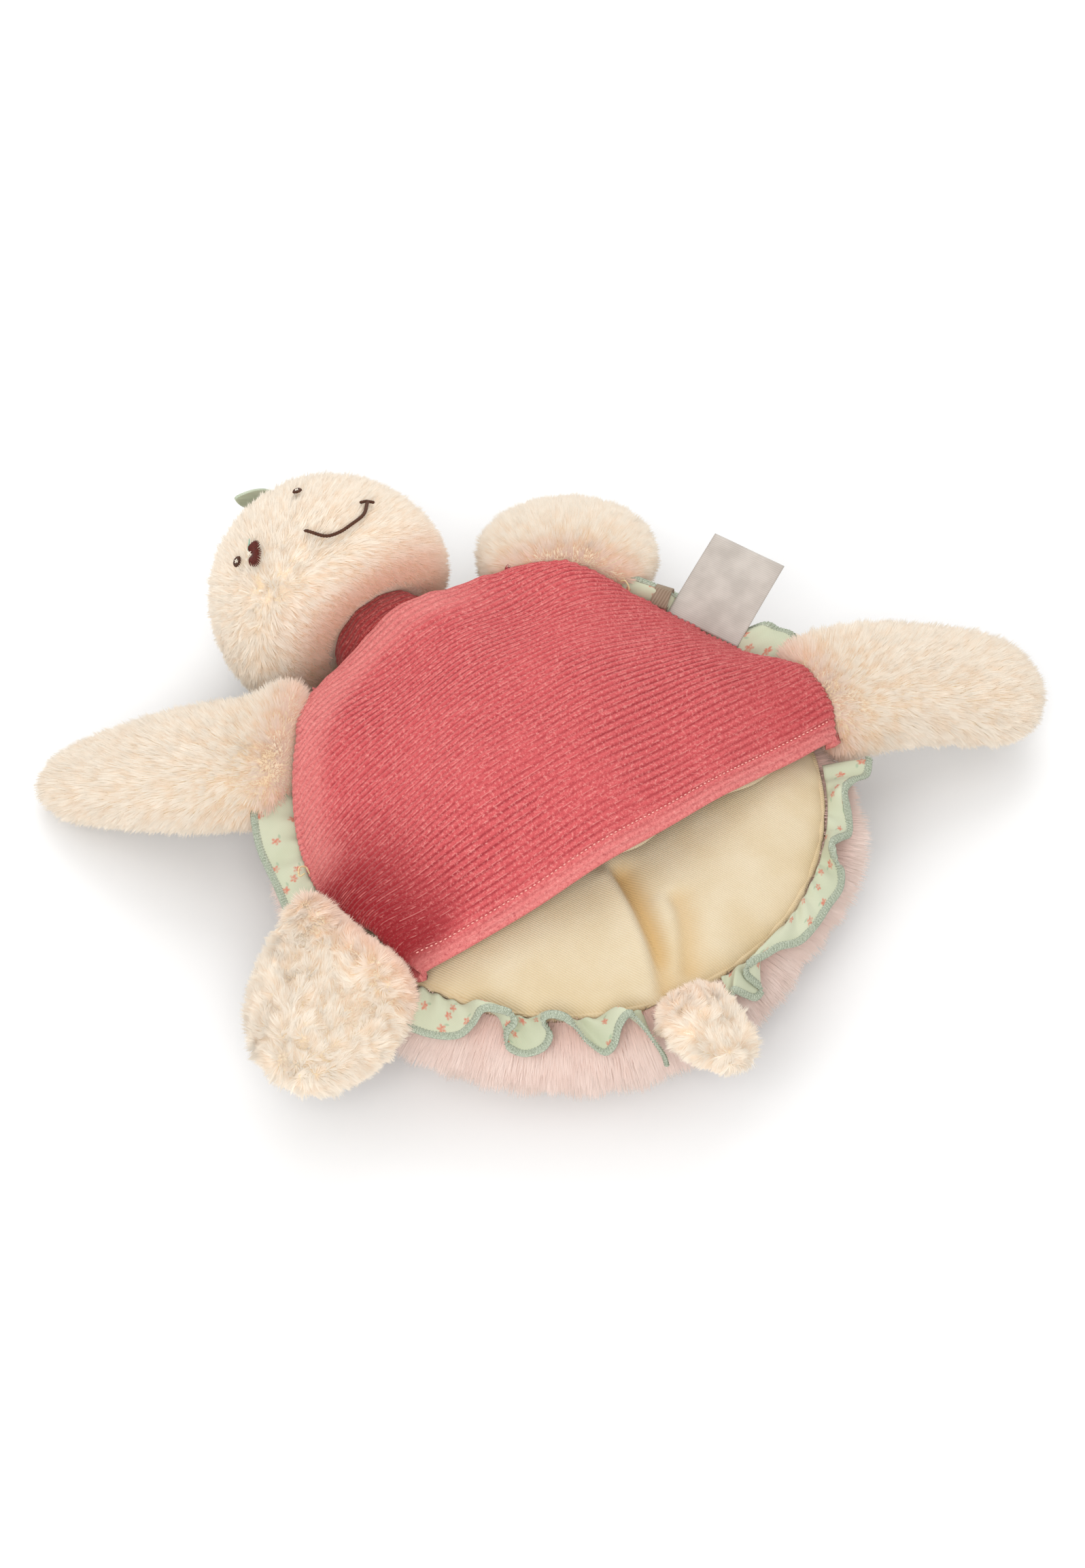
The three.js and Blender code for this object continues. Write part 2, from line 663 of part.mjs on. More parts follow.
function ribbonLoop() {
  const [bend, inner] = [ribbonLength - loopRadius, loopRadius - ribbonThickness];
  const end = loopRadius * neckOfLoop;
  const outline = new THREE.Shape();
  outline.moveTo(0, -end);
  outline.lineTo(bend, -loopRadius);
  outline.absarc(bend, 0, loopRadius, -Math.PI / 2, Math.PI / 2);
  outline.lineTo(0, end);
  outline.lineTo(0, end - ribbonThickness);
  outline.lineTo(bend, inner);
  outline.absarc(bend, 0, inner, Math.PI / 2, -Math.PI / 2, true);
  outline.lineTo(0, ribbonThickness - end);
  outline.closePath();
  const strip = new THREE.ExtrudeGeometry(outline, { depth: ribbonWidth, bevelEnabled: false, curveSegments: 5 });
  const upright = new THREE.Matrix4().makeBasis(
    new THREE.Vector3(0, 1, 0), new THREE.Vector3(0, 0, 1), new THREE.Vector3(1, 0, 0));
  strip.translate(0, 0, -ribbonWidth / 2).applyMatrix4(upright);
  return strip.applyMatrix4(trimFrame(ribbonAngle, loopRadius, ribbonTilt));
}

add('shell_cover', toGeometry(shellCover()), materials.shell);
add('shell_filling', toGeometry(shellFilling()), materials.filling);
add('pocket_back_lining', toGeometry(backLining()), materials.lining);
add('belly_panel', toGeometry(bellyPanel()), materials.corduroy);
add('belly_lining', toGeometry(bellyLining()), materials.lining);
add('neck_collar', toGeometry(neckCollar()), materials.corduroy);
add('neck_filling', toGeometry(neckFilling()), materials.filling);
add('head_cover', toGeometry(headCover()), materials.cream);
add('head_filling', toGeometry(headFilling()), materials.filling);
add('head_leaf', toGeometry(headLeaf()), materials.leaf);
add('eye_left', toGeometry(toSolid(embroideredEye(leftEye))), materials.brownThread);
add('eye_right', toGeometry(toSolid(embroideredEye(rightEye))), materials.brownThread);
add('cheek_flower', toGeometry(toSolid(embroideredFlower())), materials.redThread);
add('flower_stem', toGeometry(toSolid(flowerStem())), materials.greenThread);
add('smile', toGeometry(toSolid(embroideredSmile())), materials.brownThread);
for (const limb of [...limbs, tail]) {
  add(`${limb.name}_cover`, toGeometry(toSolid(limbCover(limb))), materials.cream);
  add(`${limb.name}_filling`, toGeometry(toSolid(limbFilling(limb))), materials.filling);
}
for (const frill of frills) {
  add(frill.name, toGeometry(toSolid(frillStrip(frill))), materials.frill);
  add(`${frill.name}_overlock`, toGeometry(toSolid(frillEdge(frill))), materials.overlock);
}
add('care_label', toGeometry(toSolid(careLabel())), materials.label);
add('ribbon_loop', toGeometry(toSolid(ribbonLoop())), materials.ribbon);

export default puppet;
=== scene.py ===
"""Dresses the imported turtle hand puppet: pile, corduroy, twill, frills, embroidery and trim.

Lengths in this file are millimetres and angles are degrees, unless a name says otherwise. Angles round the
body run from the head end (+Y) towards the puppet's +X side.
"""

import math

import bmesh
import bpy
import numpy as np
from bpy.props import FloatProperty, FloatVectorProperty, PointerProperty
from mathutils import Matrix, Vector


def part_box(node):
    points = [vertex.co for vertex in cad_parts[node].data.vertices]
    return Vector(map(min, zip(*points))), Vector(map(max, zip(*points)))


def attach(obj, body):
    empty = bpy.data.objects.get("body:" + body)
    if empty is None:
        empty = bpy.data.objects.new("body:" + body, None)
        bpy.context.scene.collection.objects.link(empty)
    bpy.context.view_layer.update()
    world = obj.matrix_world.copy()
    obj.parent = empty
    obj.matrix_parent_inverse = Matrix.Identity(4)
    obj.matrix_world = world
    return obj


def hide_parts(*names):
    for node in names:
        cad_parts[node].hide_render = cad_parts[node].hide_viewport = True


bl_info = {
    "name": "Turtle hand puppet",
    "version": (1, 0, 0),
    "blender": (4, 5, 0),
    "location": "3D View > Sidebar > Puppet",
    "description": "Sews the soft pieces of a turtle hand puppet round its packed solids",
    "category": "Object",
}

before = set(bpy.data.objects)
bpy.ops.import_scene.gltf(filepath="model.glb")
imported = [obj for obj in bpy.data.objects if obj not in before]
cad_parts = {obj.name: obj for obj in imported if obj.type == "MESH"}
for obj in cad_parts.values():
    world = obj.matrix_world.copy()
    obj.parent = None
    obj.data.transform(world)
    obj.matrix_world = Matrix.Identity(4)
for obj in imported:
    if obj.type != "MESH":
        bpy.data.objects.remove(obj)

MM = 0.001

# Shell, pocket and belly
SEAM_RADIUS = 103
SEAM_HEIGHT = 50
LINING_RISE = 11
BELLY_EDGE_HEIGHT = 55.7
BELLY_RISE = 42
HEM_RISE = 28
BELLY_FULLNESS = 2.4
FULL_RISE_Y = 10
LIMB_ANGLES = {"front_left_flipper": -43, "front_right_flipper": 37, "hind_left_leg": -99, "hind_right_leg": 98}
TAIL_ANGLE = -170
LIMB_LIFT = 17
LIMB_LIFT_SPREAD = 15
NECK_LIFT = 14
HEM_CORNER_Y = -38
HEM_TILT = -0.5
MOUTH_SAG = 9
FRONT_ROW_ANGLE = 25

# How far the belly's edge hangs out over the seam, at angles round it
OVERHANG = [(-180, 0), (-113, -1), (-60, 0), (-43, 1), (-28, 8), (-12, 5.5), (0, 6), (11, 7), (20, 10), (30, 7),
            (45, 2), (58, 0), (72, -2), (85, -1), (96, 6), (106, 9), (115, 6), (180, 5)]

# Where the shell's rim is fuller than its solid: angle, spread of the angle, and how far out
SHELL_FULLNESS = [(125, 15, 4), (157, 13, -4), (-141, 25, 2.5)]

# How each limb's skin differs from its solid: the cloth's growth, and how far its tip is moved out and up
LIMB_SHAPES = {"front_left_flipper": (2.2, 2.5, 0), "front_right_flipper": (4.2, 0.5, 0.5),
               "hind_left_leg": (2.4, -4, 1.5), "hind_right_leg": (2.4, 3.5, 3), "tail": (2.0, -2, 0)}

# Where a limb's root bulges up beside its neighbour: angle, how far up, and how far along the seam
ROOT_BULGES = {"front_left_flipper": [(-29, 11, 5)], "hind_left_leg": [(-89, 10, 5), (-107, 9, -2)]}

# Neck and head. The smile's points are directions from the head's centre
NECK_CENTRE = (-4.0, SEAM_RADIUS + 4, SEAM_HEIGHT - 7)
NECK_RADIUS = 24.0
HEAD_CENTRE = np.array([-11.5, 139.5, 48.0])
HEAD_RADIUS = 49.7
FACE_SHIFT = np.array([-1.0, -1.6, -0.5])
SMILE = [(-9.4, 1.1, 44.7), (-5.7, -5, 45.6), (-0.6, -6.7, 45.8), (5.5, -5.9, 44.5), (11.5, -3.9, 42.3),
         (15.8, 0.7, 39.6)]

# The pleats in the pocket's back: a path, then depth, and the width of the steep and of the soft side
PLEAT = [(-5, -38), (-7.5, -52), (-10, -64), (-15, -81), (-22, -96)], 5.5, 2.6, 6.5
SECOND_PLEAT = [(6, -62), (2, -76), (-8, -92), (-12, -98)], 2.8, 3, 6

# Strands of pile in one piece. Each has four triangles, and a piece stays under 200,000. They are drawn ten
# times as wide as the real 0.05 mm, so that this many cover the skin
STRANDS = 48000
SHELL_STRANDS = 40000
TAIL_STRANDS = 16000
STRAND_WIDTH = 0.5
SHELL_STRAND_WIDTH = 0.65

# Trim in the seam: its angle round the body and its tilt over the floor
LABEL_SEAT = (68.5, 21)
RIBBON_SEAT = (57.5, 25)

# Camera, from the fit of the photograph to the round seam
CAMERA_AZIMUTH = -36
CAMERA_ELEVATION = 52
PHOTO_SIZE = (1596, 2306)
PHOTO_PIXELS_PER_MM = 3.77
PHOTO_TARGET = (-2.0, 10.3, 55.5)
CAMERA_LENS = 200
SENSOR = 36
CAMERA_REACH_M = 20

# Stage: lamps as place, width and watts
FLOOR_HALF = 40000
SKY_STRENGTH = 0.86
LAMPS = {"key": ((-700, -650, 1000), 900, 8.0), "fill": ((500, 600, 900), 900, 3.6)}


# Colours and sizes that a user would change

def linear(colour):
    """An sRGB hex colour as linear RGBA."""
    channels = [int(colour[i:i + 2], 16) / 255 for i in (1, 3, 5)]
    return tuple(c / 12.92 if c <= 0.04045 else ((c + 0.055) / 1.055) ** 2.4 for c in channels) + (1.0,)


def length_property(name, description, default, low, high):
    """A length whose default and limits are given in millimetres."""
    return FloatProperty(name=name, description=description, default=default * MM, min=low * MM, max=high * MM,
                         subtype="DISTANCE", unit="LENGTH", precision=5)


def colour_property(name, description, colour):
    """A colour whose default is given as sRGB hex."""
    return FloatVectorProperty(name=name, description=description, default=linear(colour), size=4, min=0, max=1,
                               subtype="COLOR")


class PuppetSizes(bpy.types.PropertyGroup):
    """Sizes of the cloths, pile and stitches."""
    rib_pitch: length_property("Rib pitch", "Distance between corduroy ribs", 2.8, 1, 6)
    rib_depth: length_property("Rib depth", "Depth of the grooves between ribs", 0.6, 0, 2)
    hem_fold: length_property("Hem fold", "Thickness of the folded hem", 4.4, 2, 8)
    hem_stitch: length_property("Hem stitch", "Distance between the hem's stitches", 2.0, 1, 6)
    pile_length: length_property("Cream pile length", "Length of the pile on head and limbs", 4.6, 1, 12)
    shell_pile_length: length_property("Shell pile length", "Length of the pink pile", 7.5, 2, 16)
    overlock_width: length_property("Overlock width", "Width of the frills' stitched edge", 3.4, 1, 6)
    overlock_pitch: length_property("Overlock pitch", "Distance between overlock stitches", 1.35, 0.6, 4)
    label_width: length_property("Label width", "Width of the care label", 32.5, 15, 50)
    label_length: length_property("Label length", "Length of the care label outside the seam", 38, 15, 60)


class PuppetColours(bpy.types.PropertyGroup):
    """Colours of the cloths, pile and threads."""
    cream: colour_property("Cream pile", "Tips of the pile on head, limbs and tail", "#F9F0E1")
    peach: colour_property("Pile roots", "Roots of the cream pile, seen in its valleys", "#F0C79D")
    shell: colour_property("Shell pile", "Tips of the pink pile", "#F6E0D6")
    belly: colour_property("Belly", "Tops of the belly's corduroy ribs", "#CD585B")
    collar: colour_property("Collar", "Tops of the collar's corduroy ribs", "#A03838")
    lining: colour_property("Lining", "Cotton twill inside the pocket", "#DDCFB4")
    frill: colour_property("Frill", "Ground of the frills' printed cotton", "#C9CBB2")
    flowers: colour_property("Print", "Printed flowers on the frills", "#CB6A55")
    overlock: colour_property("Overlock", "Thread round the frills' edges", "#C0C7B5")
    embroidery: colour_property("Embroidery", "Thread of the eyes and the smile", "#5B341C")
    blossom: colour_property("Blossom", "Thread of the flower on the cheek", "#6C2012")
    leaf: colour_property("Leaf", "Satin of the leaf on the crown", "#C8D0BC")
    label: colour_property("Label", "Satin of the care label", "#C4BCB3")
    ribbon: colour_property("Ribbon", "Twill of the folded ribbon", "#A89683")


def size(name):
    """A size from the panel, in millimetres."""
    return getattr(bpy.context.scene.puppet_sizes, name) / MM


def chosen(name):
    """A colour from the panel, as linear RGBA."""
    return tuple(getattr(bpy.context.scene.puppet_colours, name))


# Nodes. Material nodes in these trees are known by short names for what they are.

MATH, MIX, RANGE = "ShaderNodeMath", "ShaderNodeMix", "ShaderNodeMapRange"
NOISE, SPLIT, JOIN = "ShaderNodeTexNoise", "ShaderNodeSeparateXYZ", "ShaderNodeCombineXYZ"
VECTOR, FIELD = "ShaderNodeVectorMath", "ShaderNodeAttribute"
NAMED, STORE = "GeometryNodeInputNamedAttribute", "GeometryNodeStoreNamedAttribute"


def node(tree, kind, inputs=(), output=0, **settings):
    """Adds a node with its settings, links or sets its inputs, and gives one of its outputs."""
    made = tree.nodes.new(kind)
    for key, value in settings.items():
        setattr(made, key, value)
    for key, value in inputs.items() if isinstance(inputs, dict) else enumerate(inputs):
        if isinstance(value, bpy.types.NodeSocket):
            tree.links.new(value, made.inputs[key])
        else:
            made.inputs[key].default_value = value
    return made.outputs[output] if len(made.outputs) else made


def blank_material(name):
    """A material with an empty tree, and its places on the object in metres and on the cloth."""
    made = bpy.data.materials.new(name)
    made.use_nodes = True
    made.node_tree.nodes.clear()
    places = node(made.node_tree, "ShaderNodeTexCoord").node.outputs
    return made, made.node_tree, places["Object"], places["UV"]


def cloth_surface(tree, colour, height, strength, depth, roughness, **more):
    """The shader of a cloth and its output. Depth is how deep the relief is, in millimetres."""
    relief = node(tree, "ShaderNodeBump", {"Height": height, "Strength": strength, "Distance": depth * MM})
    inputs = {"Base Color": colour, "Roughness": roughness, "Specular IOR Level": 0.25, "Normal": relief}
    inputs.update({label.replace("_", " "): value for label, value in more.items()})
    shader = node(tree, "ShaderNodeBsdfPrincipled", inputs)
    node(tree, "ShaderNodeOutputMaterial", {"Surface": shader})


# Materials

def pile_backing(name, colour, patch_colour):
    """Knitted backing of pile fabric: a soft mottled ground that shows between the strands."""
    made, tree, place, _ = blank_material(name)
    patches = node(tree, RANGE, (node(tree, NOISE, {"Vector": place, "Scale": 90}), 0.35, 0.65))
    ground = node(tree, MIX, {0: patches, 6: linear(colour), 7: linear(patch_colour)}, 2, data_type="RGBA")
    knit = node(tree, NOISE, {"Vector": place, "Scale": 900, "Detail": 3.0})
    cloth_surface(tree, ground, knit, 0.6, 0.8, 0.95, Sheen_Weight=0.3)
    return made


def pile_strands(name, tip, root, flush):
    """Polyester pile: pale soft tips; toward the roots in its valleys a deeper colour, partly the roots' own and
    partly painted shade; and painted reflected light of the neighbouring red cloth where it is sewn in."""
    made, tree, place, _ = blank_material(name)
    height, tuft, warm, red_bounce_share, shade = (node(tree, FIELD, output="Fac", attribute_name=label)
                                        for label in ("tip", "tuft", "warm", "flush", "shade"))
    # Toward each strand's root, in the valleys between tufts and as strongly as the field says, the colour turns to
    # the root colour: partly the roots' own colour, partly painted shade
    low = node(tree, RANGE, (height, 1.0, 0.0, 0.3, 1.0))
    valley = node(tree, RANGE, (tuft, 0.58, 0.42, 0.3, 1.0))
    deep = node(tree, MATH, (node(tree, MATH, (low, valley), operation="MULTIPLY"), warm), operation="MULTIPLY")
    pale = node(tree, MIX, {0: deep, 6: tip, 7: root}, 2, data_type="RGBA")
    uneven = node(tree, MATH, (shade, 0.16), operation="MULTIPLY")
    mottled = node(tree, MIX, {0: uneven, 6: pale, 7: root}, 2, data_type="RGBA")
    # Painted reflected light of the red cloth, as strong as the field says
    colour = node(tree, MIX, {0: red_bounce_share, 6: mottled, 7: linear(flush)}, 2, data_type="RGBA")
    fine = node(tree, NOISE, {"Vector": place, "Scale": 2500})
    cloth_surface(tree, colour, fine, 0.1, 0.1, 0.85, Sheen_Weight=1.0, Sheen_Tint=linear("#FFF6E8"))
    return made


def corduroy(name, top, groove, highlight_colour, deep):
    """Cotton corduroy: velvety ribs 2.8 mm apart, with painted shade in the grooves and over parts of the belly,
    and painted highlights on flecks, along the ribs, at the hem and at the belly's left edge. Its tufts are
    drawn 1 mm wide, coarser than the real 0.4 mm, to show."""
    made, tree, place, cloth = blank_material(name)
    along = node(tree, SPLIT, (cloth,)).node.outputs
    turn = node(tree, MATH, (along[1], 2 * math.pi), operation="MULTIPLY")
    rib = node(tree, MATH, (node(tree, MATH, (turn,), operation="COSINE"), -0.5, 0.5), operation="MULTIPLY_ADD")
    # Painted shade in the grooves between ribs, uneven over the cloth
    uneven_shade = node(tree, NOISE, {"Vector": place, "Scale": 30, "Detail": 3.0})
    slow = node(tree, RANGE, (uneven_shade, 0.35, 0.65, 0.3, 0.9))
    narrow = node(tree, MATH, (node(tree, MATH, (1.0, rib), operation="SUBTRACT"), 2.5), operation="POWER")
    hollow = node(tree, MATH, (narrow, slow), operation="MULTIPLY")
    ground = node(tree, MIX, {0: hollow, 6: top, 7: linear(groove)}, 2, data_type="RGBA")
    # Painted shade over the belly's lower left and, lighter, its right side
    brushed = node(tree, FIELD, output="Fac", attribute_name="brushed")
    ground = node(tree, MIX, {0: brushed, 6: ground, 7: linear(deep)}, 2, data_type="RGBA")
    # Painted highlight along the hem and the belly's front left edge
    crushed = node(tree, FIELD, output="Fac", attribute_name="crushed")
    ground = node(tree, MIX, {0: crushed, 6: ground, 7: linear(highlight_colour)}, 2, data_type="RGBA")
    # Painted highlights on flecks of the pile, and random dark flecks of the groove colour
    fleck = node(tree, NOISE, {"Vector": place, "Scale": 950, "Detail": 3.0, "Roughness": 0.75})
    pale = node(tree, RANGE, (fleck, 0.52, 0.74, 0.0, 0.85))
    # Fewer painted highlights within that painted shade
    whole = node(tree, MATH, (brushed, -0.7, 1.0), operation="MULTIPLY_ADD")
    fewer = node(tree, MATH, (whole, pale), operation="MULTIPLY")
    flecked = node(tree, MIX, {0: fewer, 6: ground, 7: linear(highlight_colour)}, 2, data_type="RGBA")
    dark = node(tree, RANGE, (fleck, 0.47, 0.3, 0.0, 0.6))
    colour = node(tree, MIX, {0: dark, 6: flecked, 7: linear(groove)}, 2, data_type="RGBA")
    # A painted highlight: a thin pale line along one side of each rib, broken into dashes about 4 mm long
    strip = node(tree, JOIN, (node(tree, MATH, (along[0], 0.16), operation="MULTIPLY"), along[1]))
    dash = node(tree, RANGE, (node(tree, NOISE, {"Vector": strip, "Scale": 1.6, "Detail": 1.0}), 0.5, 0.62))
    within = node(tree, MATH, (along[1], 1.0), operation="FLOORED_MODULO")
    edge = node(tree, MATH, (within, 0.22), operation="SUBTRACT")
    line = node(tree, RANGE, (node(tree, MATH, (edge,), operation="ABSOLUTE"), 0.1, 0.0, 0.0, 0.55))
    share = node(tree, MATH, (line, dash), operation="MULTIPLY")
    colour = node(tree, MIX, {0: share, 6: colour, 7: linear(highlight_colour)}, 2, data_type="RGBA")
    height = node(tree, MATH, (rib, 0.5, fleck), operation="MULTIPLY_ADD")
    cloth_surface(tree, colour, height, 0.8, 0.55, 0.9, Sheen_Weight=0.25, Sheen_Tint=linear("#FFC9C0"))
    return made


def twill(name, colour, shadow, pitch=0.95):
    """Cotton twill: fine slanting ridges, drawn a little coarser than the real 0.6 mm so that they show, and painted
    shade, darker and yellower, in its folds."""
    made, tree, place, cloth = blank_material(name)
    along = node(tree, SPLIT, (cloth,)).node.outputs
    slant = node(tree, MATH, (along[1], 0.45, along[0]), operation="MULTIPLY_ADD")
    turn = node(tree, MATH, (slant, 2 * math.pi / pitch), operation="MULTIPLY")
    ridge = node(tree, MATH, (turn,), operation="SINE")
    # Painted shade along the twill's lines, uneven over the cloth
    uneven_shade = node(tree, NOISE, {"Vector": place, "Scale": 60, "Detail": 3.0})
    wear_and_shade = node(tree, RANGE, (uneven_shade, 0.3, 0.7, 0.0, 0.3))
    line = node(tree, MATH, (ridge, 0.16, wear_and_shade), operation="MULTIPLY_ADD")
    share = node(tree, RANGE, (line, -0.1, 0.5))
    ground = node(tree, MIX, {0: share, 6: linear(shadow), 7: colour}, 2, data_type="RGBA")
    # Painted shade, darker and yellower, where the field says: in folds and at the seam
    fold = node(tree, FIELD, output="Fac", attribute_name="fold")
    ground = node(tree, MIX, {0: fold, 6: ground, 7: linear("#C9A468")}, 2, data_type="RGBA")
    weave = node(tree, NOISE, {"Vector": place, "Scale": 1200})
    height = node(tree, MATH, (ridge, 0.5, weave), operation="MULTIPLY_ADD")
    cloth_surface(tree, ground, height, 0.5, 0.25, 0.8, Sheen_Weight=0.15)
    return made


def flower_print(name, colour, shadow, ink_colour):
    """Thin plain cotton with a scattered print of soft five-petalled flowers, 4 mm wide and 13 mm apart, each
    with one small leaf. The threads are drawn 0.45 mm wide, coarser than the real 0.2 mm, to show."""
    made, tree, place, cloth = blank_material(name)
    cell = node(tree, "ShaderNodeTexVoronoi", {"Vector": cloth, "Scale": 1 / 13, "Randomness": 0.8}, "Position",
                voronoi_dimensions="2D")
    offset = node(tree, VECTOR, (cloth, cell), operation="SUBTRACT")
    along = node(tree, SPLIT, (offset,)).node.outputs
    turn = node(tree, MATH, (along[1], along[0]), operation="ARCTAN2")
    across = node(tree, VECTOR, (offset,), "Value", operation="LENGTH")
    lobes = node(tree, MATH, (node(tree, MATH, (turn, 2.5), operation="MULTIPLY"),), operation="SINE")
    size_of_lobe = node(tree, MATH, (lobes,), operation="ABSOLUTE")
    reach = node(tree, MATH, (size_of_lobe, 1.1, 1.1), operation="MULTIPLY_ADD")
    petals = node(tree, RANGE, (node(tree, MATH, (reach, across), operation="SUBTRACT"), -0.35, 0.5))
    speckle = node(tree, NOISE, {"Vector": place, "Scale": 900, "Detail": 3.0})
    brush = node(tree, RANGE, (speckle, 0.3, 0.6, 0.2, 0.85))
    ink = node(tree, MATH, (petals, brush), operation="MULTIPLY")
    beside = node(tree, VECTOR, (offset, (2.6, -1.8, 0.0)), operation="SUBTRACT")
    flat = node(tree, VECTOR, (beside, (0.65, 1.5, 0.0)), operation="MULTIPLY")
    leaf_share = node(tree, RANGE, (node(tree, VECTOR, (flat,), "Value", operation="LENGTH"), 1.1, 0.5, 0.0, 0.6))
    weave = node(tree, "ShaderNodeTexChecker", {"Vector": cloth, "Scale": 2.2}, "Fac")
    soft = node(tree, RANGE, (node(tree, NOISE, {"Vector": place, "Scale": 50}), 0.3, 0.7, 0.0, 0.5))
    share = node(tree, MATH, (weave, 0.22, soft), operation="MULTIPLY_ADD")
    ground = node(tree, MIX, {0: share, 6: colour, 7: linear(shadow)}, 2, data_type="RGBA")
    ground = node(tree, MIX, {0: leaf_share, 6: ground, 7: linear("#93A98C")}, 2, data_type="RGBA")
    printed = node(tree, MIX, {0: ink, 6: ground, 7: ink_colour}, 2, data_type="RGBA")
    cloth_surface(tree, printed, weave, 0.3, 0.2, 0.75, Sheen_Weight=0.1)
    return made


def thread(name, colour, shade):
    """Spun polyester thread: a slight gloss with fine twist along it."""
    made, tree, place, _ = blank_material(name)
    twist = node(tree, NOISE, {"Vector": place, "Scale": 2200})
    share = node(tree, RANGE, (twist, 0.3, 0.7))
    mottled = node(tree, MIX, {0: share, 6: linear(shade), 7: colour}, 2, data_type="RGBA")
    cloth_surface(tree, mottled, twist, 0.4, 0.2, 0.65, Sheen_Weight=0.1)
    return made


def satin(name, colour, shadow, roughness):
    """Woven satin: smooth and slightly glossy, with faint close lines across, drawn 0.8 mm apart to show."""
    made, tree, place, cloth = blank_material(name)
    along = node(tree, SPLIT, (cloth,)).node.outputs
    turn = node(tree, MATH, (along[1], 2 * math.pi / 0.8), operation="MULTIPLY")
    line = node(tree, MATH, (turn,), operation="SINE")
    soft = node(tree, NOISE, {"Vector": place, "Scale": 120})
    share = node(tree, RANGE, (node(tree, MATH, (line, 0.12, soft), operation="MULTIPLY_ADD"), 0.3, 0.75))
    ground = node(tree, MIX, {0: share, 6: linear(shadow), 7: colour}, 2, data_type="RGBA")
    cloth_surface(tree, ground, line, 0.15, 0.1, roughness, Specular_IOR_Level=0.5)
    return made


def painted_floor():
    """Matt white paint: pale and even, so that only the puppet's shadow shows on it."""
    made, tree, place, _ = blank_material("painted_floor")
    grain = node(tree, NOISE, {"Vector": place, "Scale": 400})
    cloth_surface(tree, linear("#F8F8F8"), grain, 0.02, 0.1, 1.0, Specular_IOR_Level=0.0)
    return made


# What each finish is made of, with its shades where they aren't the user's
MATERIALS = {
    "cream_backing": lambda name: pile_backing(name, "#F6E6CE", "#EFD5B0"),
    # The last colour of each pile is painted reflected light of the red cloth beside it
    "cream_pile": lambda name: pile_strands(name, chosen("cream"), chosen("peach"), "#E0A18C"),
    "head_pile": lambda name: pile_strands(name, chosen("cream"), chosen("peach"), "#DE9B7C"),
    "shell_backing": lambda name: pile_backing(name, "#EBCDC0", "#E2BBAE"),
    "shell_pile": lambda name: pile_strands(name, chosen("shell"), linear("#E4B6A6"), "#DBA295"),
    "belly_corduroy": lambda name: corduroy(name, chosen("belly"), "#962B33", "#EC9C95", "#8F1B23"),
    "collar_corduroy": lambda name: corduroy(name, chosen("collar"), "#802428", "#D28078", "#802428"),
    "lining_twill": lambda name: twill(name, chosen("lining"), "#D0BC98"),
    "frill_print": lambda name: flower_print(name, chosen("frill"), "#B3BA9C", chosen("flowers")),
    "thread_overlock": lambda name: thread(name, chosen("overlock"), "#8C9480"),
    "thread_brown": lambda name: thread(name, chosen("embroidery"), "#3A1F12"),
    "thread_white": lambda name: thread(name, linear("#F6EFE2"), "#E2D6C4"),
    "thread_red": lambda name: thread(name, chosen("blossom"), "#3F1208"),
    "thread_green": lambda name: thread(name, linear("#9CC4AE"), "#7FA892"),
    "thread_pink": lambda name: thread(name, linear("#F5B3A8"), "#E8948A"),
    "thread_cream": lambda name: thread(name, linear("#E5D2A8"), "#CDB684"),
    "satin_leaf": lambda name: satin(name, chosen("leaf"), "#AEB8A0", 0.5),
    "satin_label": lambda name: satin(name, chosen("label"), "#ADA59C", 0.45),
    "ribbon_twill": lambda name: twill(name, chosen("ribbon"), "#85735F", 1.2),
}


def material(name):
    """One of this file's materials, made the first time that it is asked for."""
    return bpy.data.materials.get(name) or MATERIALS[name](name)


# Meshes

def place_piece(name, mesh, finish, body, nodes=()):
    """Makes a finished piece of a mesh: its material, its body and the solids that it stands for."""
    piece = bpy.data.objects.new(name, mesh)
    bpy.context.scene.collection.objects.link(piece)
    mesh.materials.clear()
    mesh.materials.append(material(finish))
    mesh.shade_smooth()
    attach(piece, body)
    if nodes:
        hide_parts(*nodes)
    return piece


def place_pile(name, mesh, finish, body):
    """Places strands of pile. Light passes between real strands, so only the skin under them casts a shadow."""
    place_piece(name, mesh, finish, body, ()).visible_shadow = False


def mesh_from(name, points, faces, uvs=None, edges=()):
    """A mesh in metres from points in millimetres, with the UV of each point if given."""
    mesh = bpy.data.meshes.new(name)
    mesh.from_pydata([tuple(p) for p in np.asarray(points, float) * MM], list(edges), faces)
    if uvs is not None:
        layer = mesh.uv_layers.new(name="UVMap")
        index = np.empty(len(mesh.loops), np.int32)
        mesh.loops.foreach_get("vertex_index", index)
        layer.data.foreach_set("uv", np.asarray(uvs, np.float32)[index].ravel())
    mesh.validate()
    return mesh


def grid_faces(rows, columns, wrap=False):
    """Faces between the points of a grid, laid out row by row, whose normal is along rows x columns."""
    faces = []
    for j in range(rows - 1):
        for i in range(columns if wrap else columns - 1):
            k = (i + 1) % columns
            faces.append((j * columns + i, j * columns + k, (j + 1) * columns + k, (j + 1) * columns + i))
    return faces


def applied(mesh, name, **settings):
    """A mesh with one modifier applied."""
    helper = bpy.data.objects.new("helper", mesh)
    bpy.context.scene.collection.objects.link(helper)
    modifier = helper.modifiers.new(name, name)
    for key, value in settings.items():
        setattr(modifier, key, value)
    return taken(helper)


